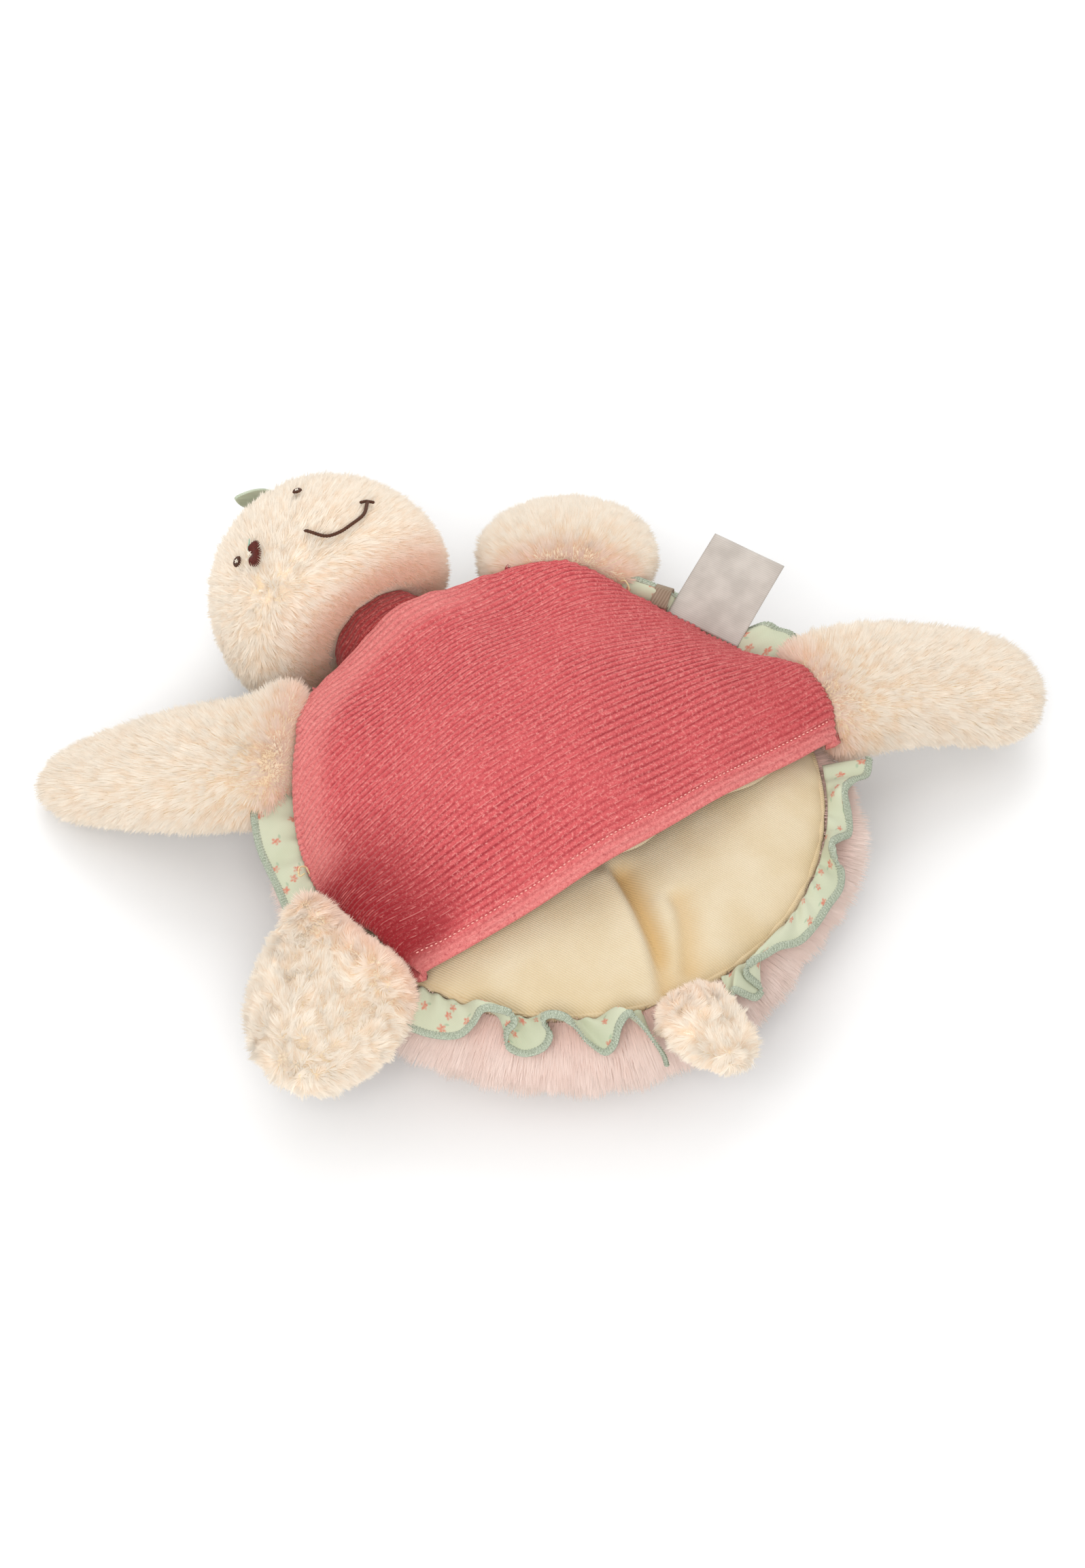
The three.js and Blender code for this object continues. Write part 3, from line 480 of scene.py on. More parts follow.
def taken(helper):
    """The evaluated mesh of a helper object, which is then removed."""
    graph = bpy.context.evaluated_depsgraph_get()
    graph.update()
    mesh = bpy.data.meshes.new_from_object(helper.evaluated_get(graph))
    bpy.data.objects.remove(helper)
    return mesh


def coordinates(mesh):
    """A mesh's points, in metres."""
    values = np.empty(len(mesh.vertices) * 3, np.float32)
    mesh.vertices.foreach_get("co", values)
    return values.reshape(-1, 3).astype(float)


def set_coordinates(mesh, values):
    """Moves a mesh's points, given in metres."""
    mesh.vertices.foreach_set("co", np.asarray(values, np.float32).ravel())
    mesh.update()


def vertex_normals(mesh):
    """The directions out of a mesh at its points."""
    values = np.empty(len(mesh.vertices) * 3, np.float32)
    mesh.vertex_normals.foreach_get("vector", values)
    return values.reshape(-1, 3).astype(float)


def smoothstep(value, low, high):
    """A soft step from 0 at low to 1 at high, which may be the smaller."""
    share = np.clip((value - low) / (high - low), 0, 1)
    return share * share * (3 - 2 * share)


def outward(angle):
    """The level direction at an angle round the body."""
    return np.array([math.sin(math.radians(angle)), math.cos(math.radians(angle)), 0.0])


def smooth_path(points, count):
    """A smooth path through points, with evenly spaced stations in their own parameter."""
    points = np.asarray(points, float)
    padded = np.vstack([2 * points[0] - points[1], points, 2 * points[-1] - points[-2]])
    stations = np.linspace(0, len(points) - 1, count)
    index = np.minimum(stations.astype(int), len(points) - 2)
    t = (stations - index)[:, None]
    a, b, c, d = (padded[index + k] for k in range(4))
    return 0.5 * (2 * b + (c - a) * t + (2 * a - 5 * b + 4 * c - d) * t ** 2 + (3 * b - a - 3 * c + d) * t ** 3)


def even_path(points, spacing):
    """Points along a path at even spacing."""
    points = np.asarray(points, float)
    lengths = np.concatenate([[0], np.cumsum(np.linalg.norm(np.diff(points, axis=0), axis=1))])
    stations = np.linspace(0, lengths[-1], max(2, int(lengths[-1] / spacing) + 1))
    return np.stack([np.interp(stations, lengths, points[:, k]) for k in range(points.shape[1])], axis=1)


def sweep(path, ups, width, height, sides=8, pinch=0.0):
    """A flattened round band along a path: width across, height along its up directions."""
    path, ups = np.asarray(path, float), np.asarray(ups, float)
    ahead = np.gradient(path, axis=0)
    ahead /= np.linalg.norm(ahead, axis=1)[:, None]
    side = np.cross(ahead, ups)
    side /= np.linalg.norm(side, axis=1)[:, None]
    up = np.cross(side, ahead)
    share = np.linspace(0, 1, len(path))
    narrow = 1 - pinch * (1 - np.clip(np.minimum(share, 1 - share) * len(path) / 3, 0, 1)) ** 2
    points = []
    for p, s, u, w in zip(path, side, up, narrow):
        for k in range(sides):
            turn = 2 * math.pi * k / sides
            points.append(p + s * math.cos(turn) * width / 2 * w + u * math.sin(turn) * height / 2 * w)
    faces = grid_faces(len(path), sides, wrap=True)
    last = (len(path) - 1) * sides
    faces.append(tuple(range(sides)))
    faces.append(tuple(last + k for k in reversed(range(sides))))
    return points, faces


def outside_out(mesh):
    """Merges doubles and points every face outwards."""
    work = bmesh.new()
    work.from_mesh(mesh)
    bmesh.ops.remove_doubles(work, verts=work.verts, dist=0.01 * MM)
    bmesh.ops.recalc_face_normals(work, faces=work.faces)
    work.to_mesh(mesh)
    work.free()
    return mesh


def joined(name, parts):
    """One mesh from several lists of points and faces."""
    points, faces = [], []
    for part_points, part_faces in parts:
        start = len(points)
        points += [tuple(p) for p in part_points]
        faces += [tuple(start + i for i in face) for face in part_faces]
    return outside_out(mesh_from(name, points, faces))


# Geometry Nodes trees

def tree_with(name, inputs):
    """A geometry tree with named inputs, given as name: (socket type, default)."""
    tree = bpy.data.node_groups.new(name, "GeometryNodeTree")
    tree.interface.new_socket("Geometry", in_out="INPUT", socket_type="NodeSocketGeometry")
    for label, (kind, default) in inputs.items():
        socket = tree.interface.new_socket(label, in_out="INPUT", socket_type=kind)
        if default is not None:
            socket.default_value = default
    tree.interface.new_socket("Geometry", in_out="OUTPUT", socket_type="NodeSocketGeometry")
    return tree, node(tree, "NodeGroupInput").node.outputs


def run_tree(tree, mesh, values):
    """The plain mesh that a tree makes of a mesh, with its inputs set by their identifiers."""
    helper = bpy.data.objects.new("helper", mesh)
    bpy.context.scene.collection.objects.link(helper)
    modifier = helper.modifiers.new(tree.name, "NODES")
    modifier.node_group = tree
    for item in tree.interface.items_tree:
        if item.in_out == "INPUT" and item.name in values:
            modifier[item.identifier] = values[item.name]
    return taken(helper)


def pile_tree():
    """Strands of pile on a skin, whose fields say where they grow (cover), how tall they are (trim) and where
    they lean (comb)."""
    tree, given = tree_with("pile", {
        "Density": ("NodeSocketFloat", 1.0), "Length": ("NodeSocketFloat", 0.005),
        "Width": ("NodeSocketFloat", 0.0008), "Lean": ("NodeSocketFloat", 0.7),
        "Swirl": ("NodeSocketFloat", 0.8), "Swirl Size": ("NodeSocketFloat", 0.009),
        "Tuft Size": ("NodeSocketFloat", 0.004), "Seed": ("NodeSocketInt", 1),
        "Material": ("NodeSocketMaterial", None)})
    # Where strands grow, with the skin's own normal kept for their soft shading
    density = node(tree, MATH, (node(tree, NAMED, ("cover",)), given["Density"]), operation="MULTIPLY")
    spread = node(tree, "GeometryNodeDistributePointsOnFaces",
                  {"Mesh": given["Geometry"], "Density": density, "Seed": given["Seed"]}).node.outputs
    roots = node(tree, STORE, {"Geometry": spread["Points"], "Name": "skin_normal", "Value": spread["Normal"]},
                 data_type="FLOAT_VECTOR")
    # Which way they head: out, combed, and swirled by a slow field
    position = node(tree, "GeometryNodeInputPosition")
    swirl_scale = node(tree, MATH, (1.0, given["Swirl Size"]), operation="DIVIDE")
    field = node(tree, NOISE, {"Vector": position, "Scale": swirl_scale, "Detail": 1.6}, "Color")
    centred = node(tree, VECTOR, (field, (0.5, 0.5, 0.5)), operation="SUBTRACT")
    strong = node(tree, MATH, (given["Swirl"], 3.0), operation="MULTIPLY")
    swirl = node(tree, VECTOR, {0: centred, "Scale": strong}, operation="SCALE")
    comb = node(tree, NAMED, ("comb",), data_type="FLOAT_VECTOR")
    lean = node(tree, VECTOR, {0: comb, "Scale": given["Lean"]}, operation="SCALE")
    combed = node(tree, VECTOR, (spread["Normal"], lean), operation="ADD")
    heading = node(tree, VECTOR, (combed, swirl), operation="ADD")
    aligned = node(tree, "FunctionNodeAlignRotationToVector", {"Vector": heading}, axis="Z")
    spin = node(tree, "FunctionNodeRandomValue", {2: -0.9, 3: 0.9, "Seed": 5}, 1, data_type="FLOAT")
    turned = node(tree, "FunctionNodeAxisAngleToRotation", {"Axis": (0, 0, 1), "Angle": spin})
    rotation = node(tree, "FunctionNodeRotateRotation", (aligned, turned), rotation_space="LOCAL")
    # One strand, which knows how far along and across it each point is
    radius = node(tree, MATH, (given["Width"], 0.5), operation="MULTIPLY")
    cone = node(tree, "GeometryNodeMeshCone",
                {"Vertices": 3, "Radius Top": 0.0, "Radius Bottom": radius, "Depth": given["Length"]},
                fill_type="NGON")
    apart = node(tree, SPLIT, (position,)).node.outputs
    tip = node(tree, MATH, (apart[2], given["Length"]), operation="DIVIDE")
    slant = node(tree, MATH, (apart[1], 0.6, apart[0]), operation="MULTIPLY_ADD")
    sideways = node(tree, MATH, (slant, radius), operation="DIVIDE")
    side = node(tree, MATH, (sideways, 0.35, 0.5), operation="MULTIPLY_ADD")
    strand = node(tree, STORE, {"Geometry": cone, "Name": "tip", "Value": tip})
    strand = node(tree, STORE, {"Geometry": strand, "Name": "side", "Value": side})
    # How tall each strand is: taller in tufts, shorter where the skin says so
    any_size = node(tree, "FunctionNodeRandomValue", {2: 0.65, 3: 1.1, "Seed": 8}, 1, data_type="FLOAT")
    tuft_scale = node(tree, MATH, (1.0, given["Tuft Size"]), operation="DIVIDE")
    tuft = node(tree, NOISE, {"Vector": position, "Scale": tuft_scale, "Detail": 1.0})
    tall = node(tree, RANGE, (tuft, 0.3, 0.7, 0.7, 1.2))
    grown_size = node(tree, MATH, (any_size, tall), operation="MULTIPLY")
    scale = node(tree, MATH, (grown_size, node(tree, NAMED, ("trim",))), operation="MULTIPLY")
    roots = node(tree, STORE, {"Geometry": roots, "Name": "tuft", "Value": tuft})
    grown = node(tree, "GeometryNodeInstanceOnPoints",
                 {"Points": roots, "Instance": strand, "Rotation": rotation, "Scale": scale})
    shade = node(tree, "FunctionNodeRandomValue", {2: 0.0, 3: 1.0, "Seed": 11}, 1, data_type="FLOAT")
    grown = node(tree, STORE, {"Geometry": grown, "Name": "shade", "Value": shade}, domain="INSTANCE")
    index = node(tree, "GeometryNodeInputIndex")
    grown = node(tree, STORE, {"Geometry": grown, "Name": "strand", "Value": index}, domain="INSTANCE")
    total = node(tree, "GeometryNodeAttributeDomainSize", (grown,), "Instance Count", component="INSTANCES")
    # Strands stay over the floor
    real = node(tree, "GeometryNodeRealizeInstances", (grown,))
    apart = node(tree, SPLIT, (position,)).node.outputs
    above = node(tree, MATH, (apart[2], 0.15 * MM), operation="MAXIMUM")
    kept = node(tree, JOIN, (apart[0], apart[1], above))
    real = node(tree, "GeometryNodeSetPosition", {"Geometry": real, "Position": kept})
    # A flat place of its own for each strand, in the OFBake map
    across = node(tree, MATH, (node(tree, MATH, (total,), operation="SQRT"),), operation="CEIL")
    strand_number = node(tree, NAMED, ("strand",))
    column = node(tree, MATH, (strand_number, across), operation="FLOORED_MODULO")
    row = node(tree, MATH, (node(tree, MATH, (strand_number, across), operation="DIVIDE"),), operation="FLOOR")
    height = node(tree, MATH, (node(tree, NAMED, ("tip",)), 0.8, 0.1), operation="MULTIPLY_ADD")
    left = node(tree, MATH, (column, node(tree, NAMED, ("side",))), operation="ADD")
    low = node(tree, MATH, (row, height), operation="ADD")
    cell = node(tree, JOIN, (node(tree, MATH, (left, across), operation="DIVIDE"),
                             node(tree, MATH, (low, across), operation="DIVIDE")))
    real = node(tree, STORE, {"Geometry": real, "Name": "OFBake", "Value": cell}, domain="CORNER",
                data_type="FLOAT2")
    dressed = node(tree, "GeometryNodeSetMaterial", {"Geometry": real, "Material": given["Material"]})
    # Real pile lets light through, so strands are shaded as their skin is, turned a little to the light above
    skin_normal = node(tree, NAMED, ("skin_normal",), data_type="FLOAT_VECTOR")
    soft = node(tree, VECTOR, (skin_normal, (-0.1, -0.1, 0.5)), operation="ADD")
    shaded = node(tree, "GeometryNodeSetMeshNormal", {"Mesh": dressed, "Custom Normal": soft}, mode="FREE")
    node(tree, "NodeGroupOutput", (shaded,))
    return tree


def stitch_tree():
    """Stitches along a path whose points say which way is up. Turn slants each stitch across the path."""
    tree, given = tree_with("stitches", {
        "Pitch": ("NodeSocketFloat", 0.003), "Length": ("NodeSocketFloat", 0.0024),
        "Thickness": ("NodeSocketFloat", 0.0006), "Height": ("NodeSocketFloat", 0.0006),
        "Turn": ("NodeSocketFloat", 0.0), "Material": ("NodeSocketMaterial", None)})
    curve = node(tree, "GeometryNodeMeshToCurve", (given["Geometry"],))
    points = node(tree, "GeometryNodeResampleCurve", {"Curve": curve, "Length": given["Pitch"]}, mode="LENGTH")
    tangent = node(tree, "GeometryNodeInputTangent")
    up = node(tree, NAMED, ("up",), data_type="FLOAT_VECTOR")
    upright = node(tree, "FunctionNodeAlignRotationToVector", {"Vector": up}, axis="Z")
    ahead = node(tree, "FunctionNodeAlignRotationToVector", {"Rotation": upright, "Vector": tangent}, axis="X",
                 pivot_axis="Z")
    slant = node(tree, "FunctionNodeAxisAngleToRotation", {"Axis": (0, 0, 1), "Angle": given["Turn"]})
    rotation = node(tree, "FunctionNodeRotateRotation", (ahead, slant), rotation_space="LOCAL")
    ball = node(tree, "GeometryNodeMeshUVSphere", {"Segments": 6, "Rings": 5, "Radius": 0.5})
    scale = node(tree, JOIN, (given["Length"], given["Thickness"], given["Height"]))
    sewn = node(tree, "GeometryNodeInstanceOnPoints",
                {"Points": points, "Instance": ball, "Rotation": rotation, "Scale": scale})
    real = node(tree, "GeometryNodeRealizeInstances", (sewn,))
    dressed = node(tree, "GeometryNodeSetMaterial", {"Geometry": real, "Material": given["Material"]})
    node(tree, "NodeGroupOutput", (dressed,))
    return tree


def tree_named(name, maker):
    """A geometry tree, made the first time that it is asked for."""
    return bpy.data.node_groups.get(name) or maker()


def stitches(path, ups, finish, pitch, length, thickness, height, turn=0.0):
    """A mesh of stitches along a path, all sizes in millimetres."""
    edges = [(i, i + 1) for i in range(len(path) - 1)]
    mesh = mesh_from("path", path, [], edges=edges)
    add_field(mesh, "up", ups)
    values = {"Pitch": pitch * MM, "Length": length * MM, "Thickness": thickness * MM, "Height": height * MM,
              "Turn": math.radians(turn), "Material": material(finish)}
    return run_tree(tree_named("stitches", stitch_tree), mesh, values)


def add_field(mesh, name, values):
    """Stores a number or a vector on each point of a mesh."""
    values = np.asarray(values, np.float32)
    plain = values.ndim == 1
    layer = mesh.attributes.new(name, "FLOAT" if plain else "FLOAT_VECTOR", "POINT")
    layer.data.foreach_set("value" if plain else "vector", values.ravel())


def merged_meshes(name, meshes):
    """One mesh from several, in metres."""
    work = bmesh.new()
    for mesh in meshes:
        work.from_mesh(mesh)
    made = bpy.data.meshes.new(name)
    work.to_mesh(made)
    work.free()
    return made


# Stuffed pieces

def stuffed(name, filling, voxel, cap, cloth, held, smoothing=12):
    """A stuffed skin: the filling's solid is remeshed, blown up as cloth by up to cap, smoothed, and grown by
    the cloth's thickness. held is 0 where the skin may swell and 1 where it keeps to the solid."""
    work = bmesh.new()
    work.from_mesh(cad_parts[filling].data)
    bmesh.ops.remove_doubles(work, verts=work.verts, dist=0.01 * MM)
    mesh = bpy.data.meshes.new(name)
    work.to_mesh(mesh)
    work.free()
    mesh = applied(mesh, "REMESH", mode="VOXEL", voxel_size=voxel * MM)
    start = coordinates(mesh)
    move = blown_up(mesh) - start
    free = 1 - held(start / MM)
    length = np.linalg.norm(move, axis=1)
    move *= np.minimum(1, cap * MM * free / np.maximum(length, 1e-9))[:, None]
    set_coordinates(mesh, start + move)
    mesh = applied(mesh, "SMOOTH", factor=0.5, iterations=smoothing)
    set_coordinates(mesh, coordinates(mesh) + vertex_normals(mesh) * (cloth * MM * free)[:, None])
    return applied(mesh, "SUBSURF", levels=1, render_levels=1)


def blown_up(mesh):
    """Where a mesh's points lie after 20 frames as cloth with pressure inside and no gravity."""
    helper = bpy.data.objects.new("cushion", mesh)
    scene = bpy.context.scene
    scene.collection.objects.link(helper)
    cloth = helper.modifiers.new("Cloth", "CLOTH")
    cloth.settings.use_pressure = True
    cloth.settings.uniform_pressure_force = 4
    cloth.settings.effector_weights.gravity = 0
    cloth.settings.quality = 4
    cloth.point_cache.frame_start = 1
    cloth.point_cache.frame_end = 20
    for step in range(1, 21):
        scene.frame_set(step)
    graph = bpy.context.evaluated_depsgraph_get()
    result = coordinates(helper.evaluated_get(graph).to_mesh())
    bpy.data.objects.remove(helper)
    scene.frame_set(1)
    return result


def grow_pile(name, skin, finish, seed, fields, strands, length, width, lean, swirl, swirl_size, tuft):
    """Pile on a skin: this many strands of these sizes in millimetres. A field has a value for each point."""
    mesh = skin.data.copy()
    for label, values in fields.items():
        add_field(mesh, label, values)
    covered = sum(face.area * fields["cover"][face.vertices[0]] for face in mesh.polygons)
    values = {"Density": strands / covered, "Length": length * MM, "Width": width * MM, "Lean": lean, "Swirl": swirl,
              "Swirl Size": swirl_size * MM, "Tuft Size": tuft * MM, "Seed": seed, "Material": material(finish)}
    grown = run_tree(tree_named("pile", pile_tree), mesh, values)
    grown.name = name
    return grown


# Shapes of the pocket

def belly_top(x, y):
    """Height of the belly's cloth over a place in the seam's circle."""
    share = np.hypot(x, y) / SEAM_RADIUS
    angle = np.degrees(np.arctan2(x, y))
    back = smoothstep(-y, -FULL_RISE_Y, MOUTH_SAG - HEM_CORNER_Y)
    rise = BELLY_RISE + (HEM_RISE - BELLY_RISE) * back
    height = BELLY_EDGE_HEIGHT + rise * (1 - np.minimum(share, 1) ** BELLY_FULLNESS)
    for at, lift in [(angle_at, LIMB_LIFT) for angle_at in LIMB_ANGLES.values()] + [(0, NECK_LIFT)]:
        height = height + lift * share ** 5 * np.exp(-((angle - at) / LIMB_LIFT_SPREAD) ** 2)
    return height


def lining_top(radius):
    """Height of the pocket's stuffed back before it is pleated."""
    share = np.minimum(radius / SEAM_RADIUS, 1)
    return SEAM_HEIGHT + 1.5 + LINING_RISE * (1 - share ** 4)


# Operators

class PUPPET_OT_shell(bpy.types.Operator):
    """Makes the stuffed shell and its long pink pile"""
    bl_idname = "puppet.shell"
    bl_label = "Shell"

    def execute(self, context):
        mesh = stuffed("shell", "shell_filling", 5, 2.4, 0.5, lambda p: smoothstep(p[:, 2], 42, 47))
        points = coordinates(mesh)
        angle = np.degrees(np.arctan2(points[:, 0], points[:, 1]))
        fuller = sum(out * np.exp(-((angle - at) / spread) ** 2) for at, spread, out in SHELL_FULLNESS)
        rim = np.hypot(points[:, 0], points[:, 1]) / MM
        points[:, :2] *= (1 + fuller * smoothstep(rim, 70, 100) / SEAM_RADIUS)[:, None]
        under_lining = lining_surface(points[:, 0] / MM, points[:, 1] / MM) - 1.6
        points[:, 2] = np.clip(points[:, 2], 0.6 * MM, under_lining * MM)
        set_coordinates(mesh, points)
        skin = place_piece("shell_skin", mesh, "shell_backing", "body", ("shell_cover", "shell_filling"))
        p = points / MM
        radius = np.hypot(p[:, 0], p[:, 1])
        away = np.stack([p[:, 0], p[:, 1], 0 * radius], 1) / np.maximum(radius, 1)[:, None]
        low = smoothstep(p[:, 2], 12, 2)[:, None]
        fields = {
            "cover": (p[:, 2] < 48.5) * (radius > 74) * 1.0,
            "comb": away * (0.55 + 1.2 * low) + np.array([0, 0, -0.4]) + low * np.array([0, 0, 0.4]),
            "trim": 1 - 0.35 * low[:, 0],
            # Painted shade in the pile's valleys, even over the shell
            "warm": 0.35 + 0 * radius,
            # Painted reflected light of the belly near the seam
            "flush": 0.35 * smoothstep(p[:, 2], 36, 48)}
        for seed, name in ((3, "shell_pile_a"), (4, "shell_pile_b")):
            strands = grow_pile(name, skin, "shell_pile", seed, fields, SHELL_STRANDS, size("shell_pile_length"),
                                SHELL_STRAND_WIDTH, lean=1.8, swirl=0.22, swirl_size=16, tuft=9)
            place_pile(name, strands, "shell_pile", "body")
        return {"FINISHED"}


class PUPPET_OT_limbs(bpy.types.Operator):
    """Makes the four limbs and the tail with their short cream pile"""
    bl_idname = "puppet.limbs"
    bl_label = "Limbs and tail"

    def execute(self, context):
        for number, (name, angle) in enumerate([*LIMB_ANGLES.items(), ("tail", TAIL_ANGLE)]):
            small = name == "tail"
            growth, further, higher = LIMB_SHAPES[name]
            mesh = stuffed(name, name + "_filling", 2.5 if small else 4, 1.5 if small else 2.5, growth,
                           lambda p: smoothstep(np.hypot(p[:, 0], p[:, 1]), 114, 106), 5 if small else 12)
            p = coordinates(mesh) / MM
            share = smoothstep(np.hypot(p[:, 0], p[:, 1]), 112, 150)[:, None]
            p += share * (outward(angle) * further + np.array([0, 0, higher]))
            p += sum(root_bulge(p, *bulge) for bulge in ROOT_BULGES.get(name, []))
            set_coordinates(mesh, p * MM)
            skin = place_piece(name + "_skin", mesh, "cream_backing", name,
                               (name + "_cover", name + "_filling"))
            p = coordinates(mesh) / MM
            radius = np.hypot(p[:, 0], p[:, 1])
            away = p - outward(angle) * (SEAM_RADIUS + 8) - np.array([0, 0, SEAM_HEIGHT])
            brush = -0.45 if name in ("hind_left_leg", "tail") else 0.8
            fields = {
                "cover": smoothstep(radius, 105.5, 107),
                "comb": away / np.linalg.norm(away, axis=1)[:, None] * brush + np.array([0, 0, -0.15]),
                "trim": 0.6 + 0.4 * smoothstep(radius, 106, 114),
                # Painted shade in the pile's valleys, stronger near the body
                "warm": 0.55 + 0.45 * smoothstep(radius, 152, 116) * (0.6 if small else 1),
                # Painted reflected light and shade of the belly near the limb's root
                "flush": 0.6 * smoothstep(radius, 127, 106) * (0.3 if small else 1)}
            strands = grow_pile(name + "_pile", skin, "cream_pile", 20 + number, fields,
                                TAIL_STRANDS if small else STRANDS, size("pile_length"), STRAND_WIDTH,
                                lean=1.2, swirl=0.65, swirl_size=6, tuft=3.2)
            place_pile(name + "_pile", strands, "cream_pile", name)
        return {"FINISHED"}


def root_bulge(p, at, height, sideways):
    """How a limb's root bulges up beside its neighbour at an angle round the body."""
    angle = np.degrees(np.arctan2(p[:, 0], p[:, 1]))
    radius = np.hypot(p[:, 0], p[:, 1])
    near = np.exp(-((angle - at) / 8) ** 2 - ((radius - 115) / 12) ** 2) * smoothstep(p[:, 2], 40, 56)
    ahead = np.array([math.cos(math.radians(at)), -math.sin(math.radians(at)), 0])
    return near[:, None] * (ahead * sideways + np.array([0, 0, height]))


class PUPPET_OT_head(bpy.types.Operator):
    """Makes the stuffed head with its pile"""
    bl_idname = "puppet.head"
    bl_label = "Head"

    def execute(self, context):
        low = np.array(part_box("head_cover")[0]) / MM
        mesh = stuffed("head", "head_filling", 4.5, 2.5, 3.2,
                       lambda p: smoothstep(p[:, 1], low[1] + 12, low[1] + 5))
        skin = place_piece("head_skin", mesh, "cream_backing", "head", ("head_cover", "head_filling"))
        p = coordinates(mesh) / MM
        neck = frame_mid("neck_filling")
        in_neck = np.hypot(p[:, 0] - neck[0], p[:, 2] - neck[2])
        bare = (in_neck < 25) & (p[:, 1] < low[1] + 16) & (vertex_normals(mesh)[:, 1] < 0.2)
        trim = 0.55 + 0.45 * smoothstep(p[:, 1], low[1] + 2, low[1] + 9)
        for spot, reach in face_spots():
            trim = trim * (0.5 + 0.5 * smoothstep(np.linalg.norm(p - spot, axis=1), reach, reach + 2.5))
        from_neck = np.linalg.norm(p - neck, axis=1)
        fields = {
            "cover": np.where(bare, 0.0, 1.0),
            "comb": np.tile([0.7, 0.1, -0.6], (len(p), 1)),
            "trim": trim * (1 + 0.25 * smoothstep(p[:, 1], 150, 185)),
            # Painted shade in the pile's valleys, stronger near the neck
            "warm": 0.5 + 0.3 * smoothstep(from_neck, 75, 45),
            # Painted reflected light of the red collar near the neck
            "flush": 0.6 * smoothstep(from_neck, 49, 30)}
        for seed, name in ((31, "head_pile_a"), (32, "head_pile_b")):
            strands = grow_pile(name, skin, "head_pile", seed, fields, STRANDS, size("pile_length"),
                                STRAND_WIDTH, lean=1.0, swirl=0.4, swirl_size=3.8, tuft=2.4)
            place_pile(name, strands, "head_pile", "head")
        return {"FINISHED"}


def frame_mid(name):
    """The middle of a solid's box, in millimetres."""
    low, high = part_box(name)
    return np.array((low + high) / 2) / MM


def face_spots():
    """Places on the head where the pile is trimmed round the embroidery, with their reach."""
    reaches = {"eye_left": 2.5, "eye_right": 2.5, "cheek_flower": 5}
    spots = [(on_face(name), reach) for name, reach in reaches.items()]
    for share in np.linspace(0, 1, 13):
        spots.append((on_smile(share), 1.6))
    return spots


def on_head(direction, lift):
    """The point of the head in a direction from its centre, lifted off it."""
    direction = np.asarray(direction, float)
    return HEAD_CENTRE + direction / np.linalg.norm(direction) * (HEAD_RADIUS + lift)


def on_face(solid):
    """Where an embroidered piece lies on the pile, a little nearer to the chin than its solid."""
    return on_head(frame_mid(solid) - HEAD_CENTRE + FACE_SHIFT, 0.3)


def on_smile(share):
    """A point of the smile, from 0 at its left end to 1."""
    path = smooth_path(SMILE, 61)
    return on_head(path[int(round(share * 60))], 0.4)


class PUPPET_OT_pocket(bpy.types.Operator):
    """Makes the pocket's twill back and the belly's lining"""
    bl_idname = "puppet.pocket"
    bl_label = "Pocket linings"

    def execute(self, context):
        back_lining()
        belly_lining()
        return {"FINISHED"}


def valley(x, y, path, depth, steep, soft):
    """A fold along a path: a sharp side on its left and a soft slope on its right."""
    route = smooth_path([(a, b, 0) for a, b in path], 60)[:, :2]
    best = np.full(x.shape, 1e9)
    side = np.zeros(x.shape)
    share = np.zeros(x.shape)
    for i in range(len(route) - 1):
        a, b = route[i], route[i + 1]
        run = b - a
        t = np.clip(((x - a[0]) * run[0] + (y - a[1]) * run[1]) / (run @ run), 0, 1)
        dx, dy = x - a[0] - t * run[0], y - a[1] - t * run[1]
        gap = np.hypot(dx, dy)
        nearer = gap < best
        best = np.where(nearer, gap, best)
        side = np.where(nearer, np.sign(run[0] * dy - run[1] * dx), side)
        share = np.where(nearer, (i + t) / (len(route) - 1), share)
    signed = best * side
    width = np.where(signed < 0, steep, soft)
    ends = smoothstep(share, 0, 0.15) * (1 - 0.55 * smoothstep(share, 0.75, 1))
    ridge = 0.35 * depth * np.exp(-((signed + steep * 2.2) / (steep * 1.6)) ** 2)
    return ends * (ridge - depth * np.exp(-(signed / width) ** 2))


def pleats(x, y):
    """The two pleats of the pocket's back."""
    return valley(x, y, *PLEAT), valley(x, y, *SECOND_PLEAT)


def wrinkle(angle, seed):
    """An uneven wave round the seam, from -1 to 1."""
    turn = np.radians(angle)
    return (np.sin(37 * turn + seed) + 0.7 * np.sin(61 * turn + 2.1 * seed) + 0.5 * np.sin(23 * turn - seed)) / 2.2


def lining_surface(x, y):
    """Height of the pocket's back: stuffed, pleated, gathered and rounded at its seam."""
    radius = np.hypot(x, y)
    angle = np.degrees(np.arctan2(x, y))
    gap = np.maximum(SEAM_RADIUS - radius, 0)
    deep, shallow = pleats(x, y)
    z = lining_top(radius) + deep + shallow
    z = z - 3.6 * np.exp(-gap / 2.2) + 0.9 * wrinkle(angle, 1) * np.exp(-gap / 6)
    return z + 0.8 * np.sin(x / 19 + 1) * np.sin(y / 23) * smoothstep(gap, 0, 20)


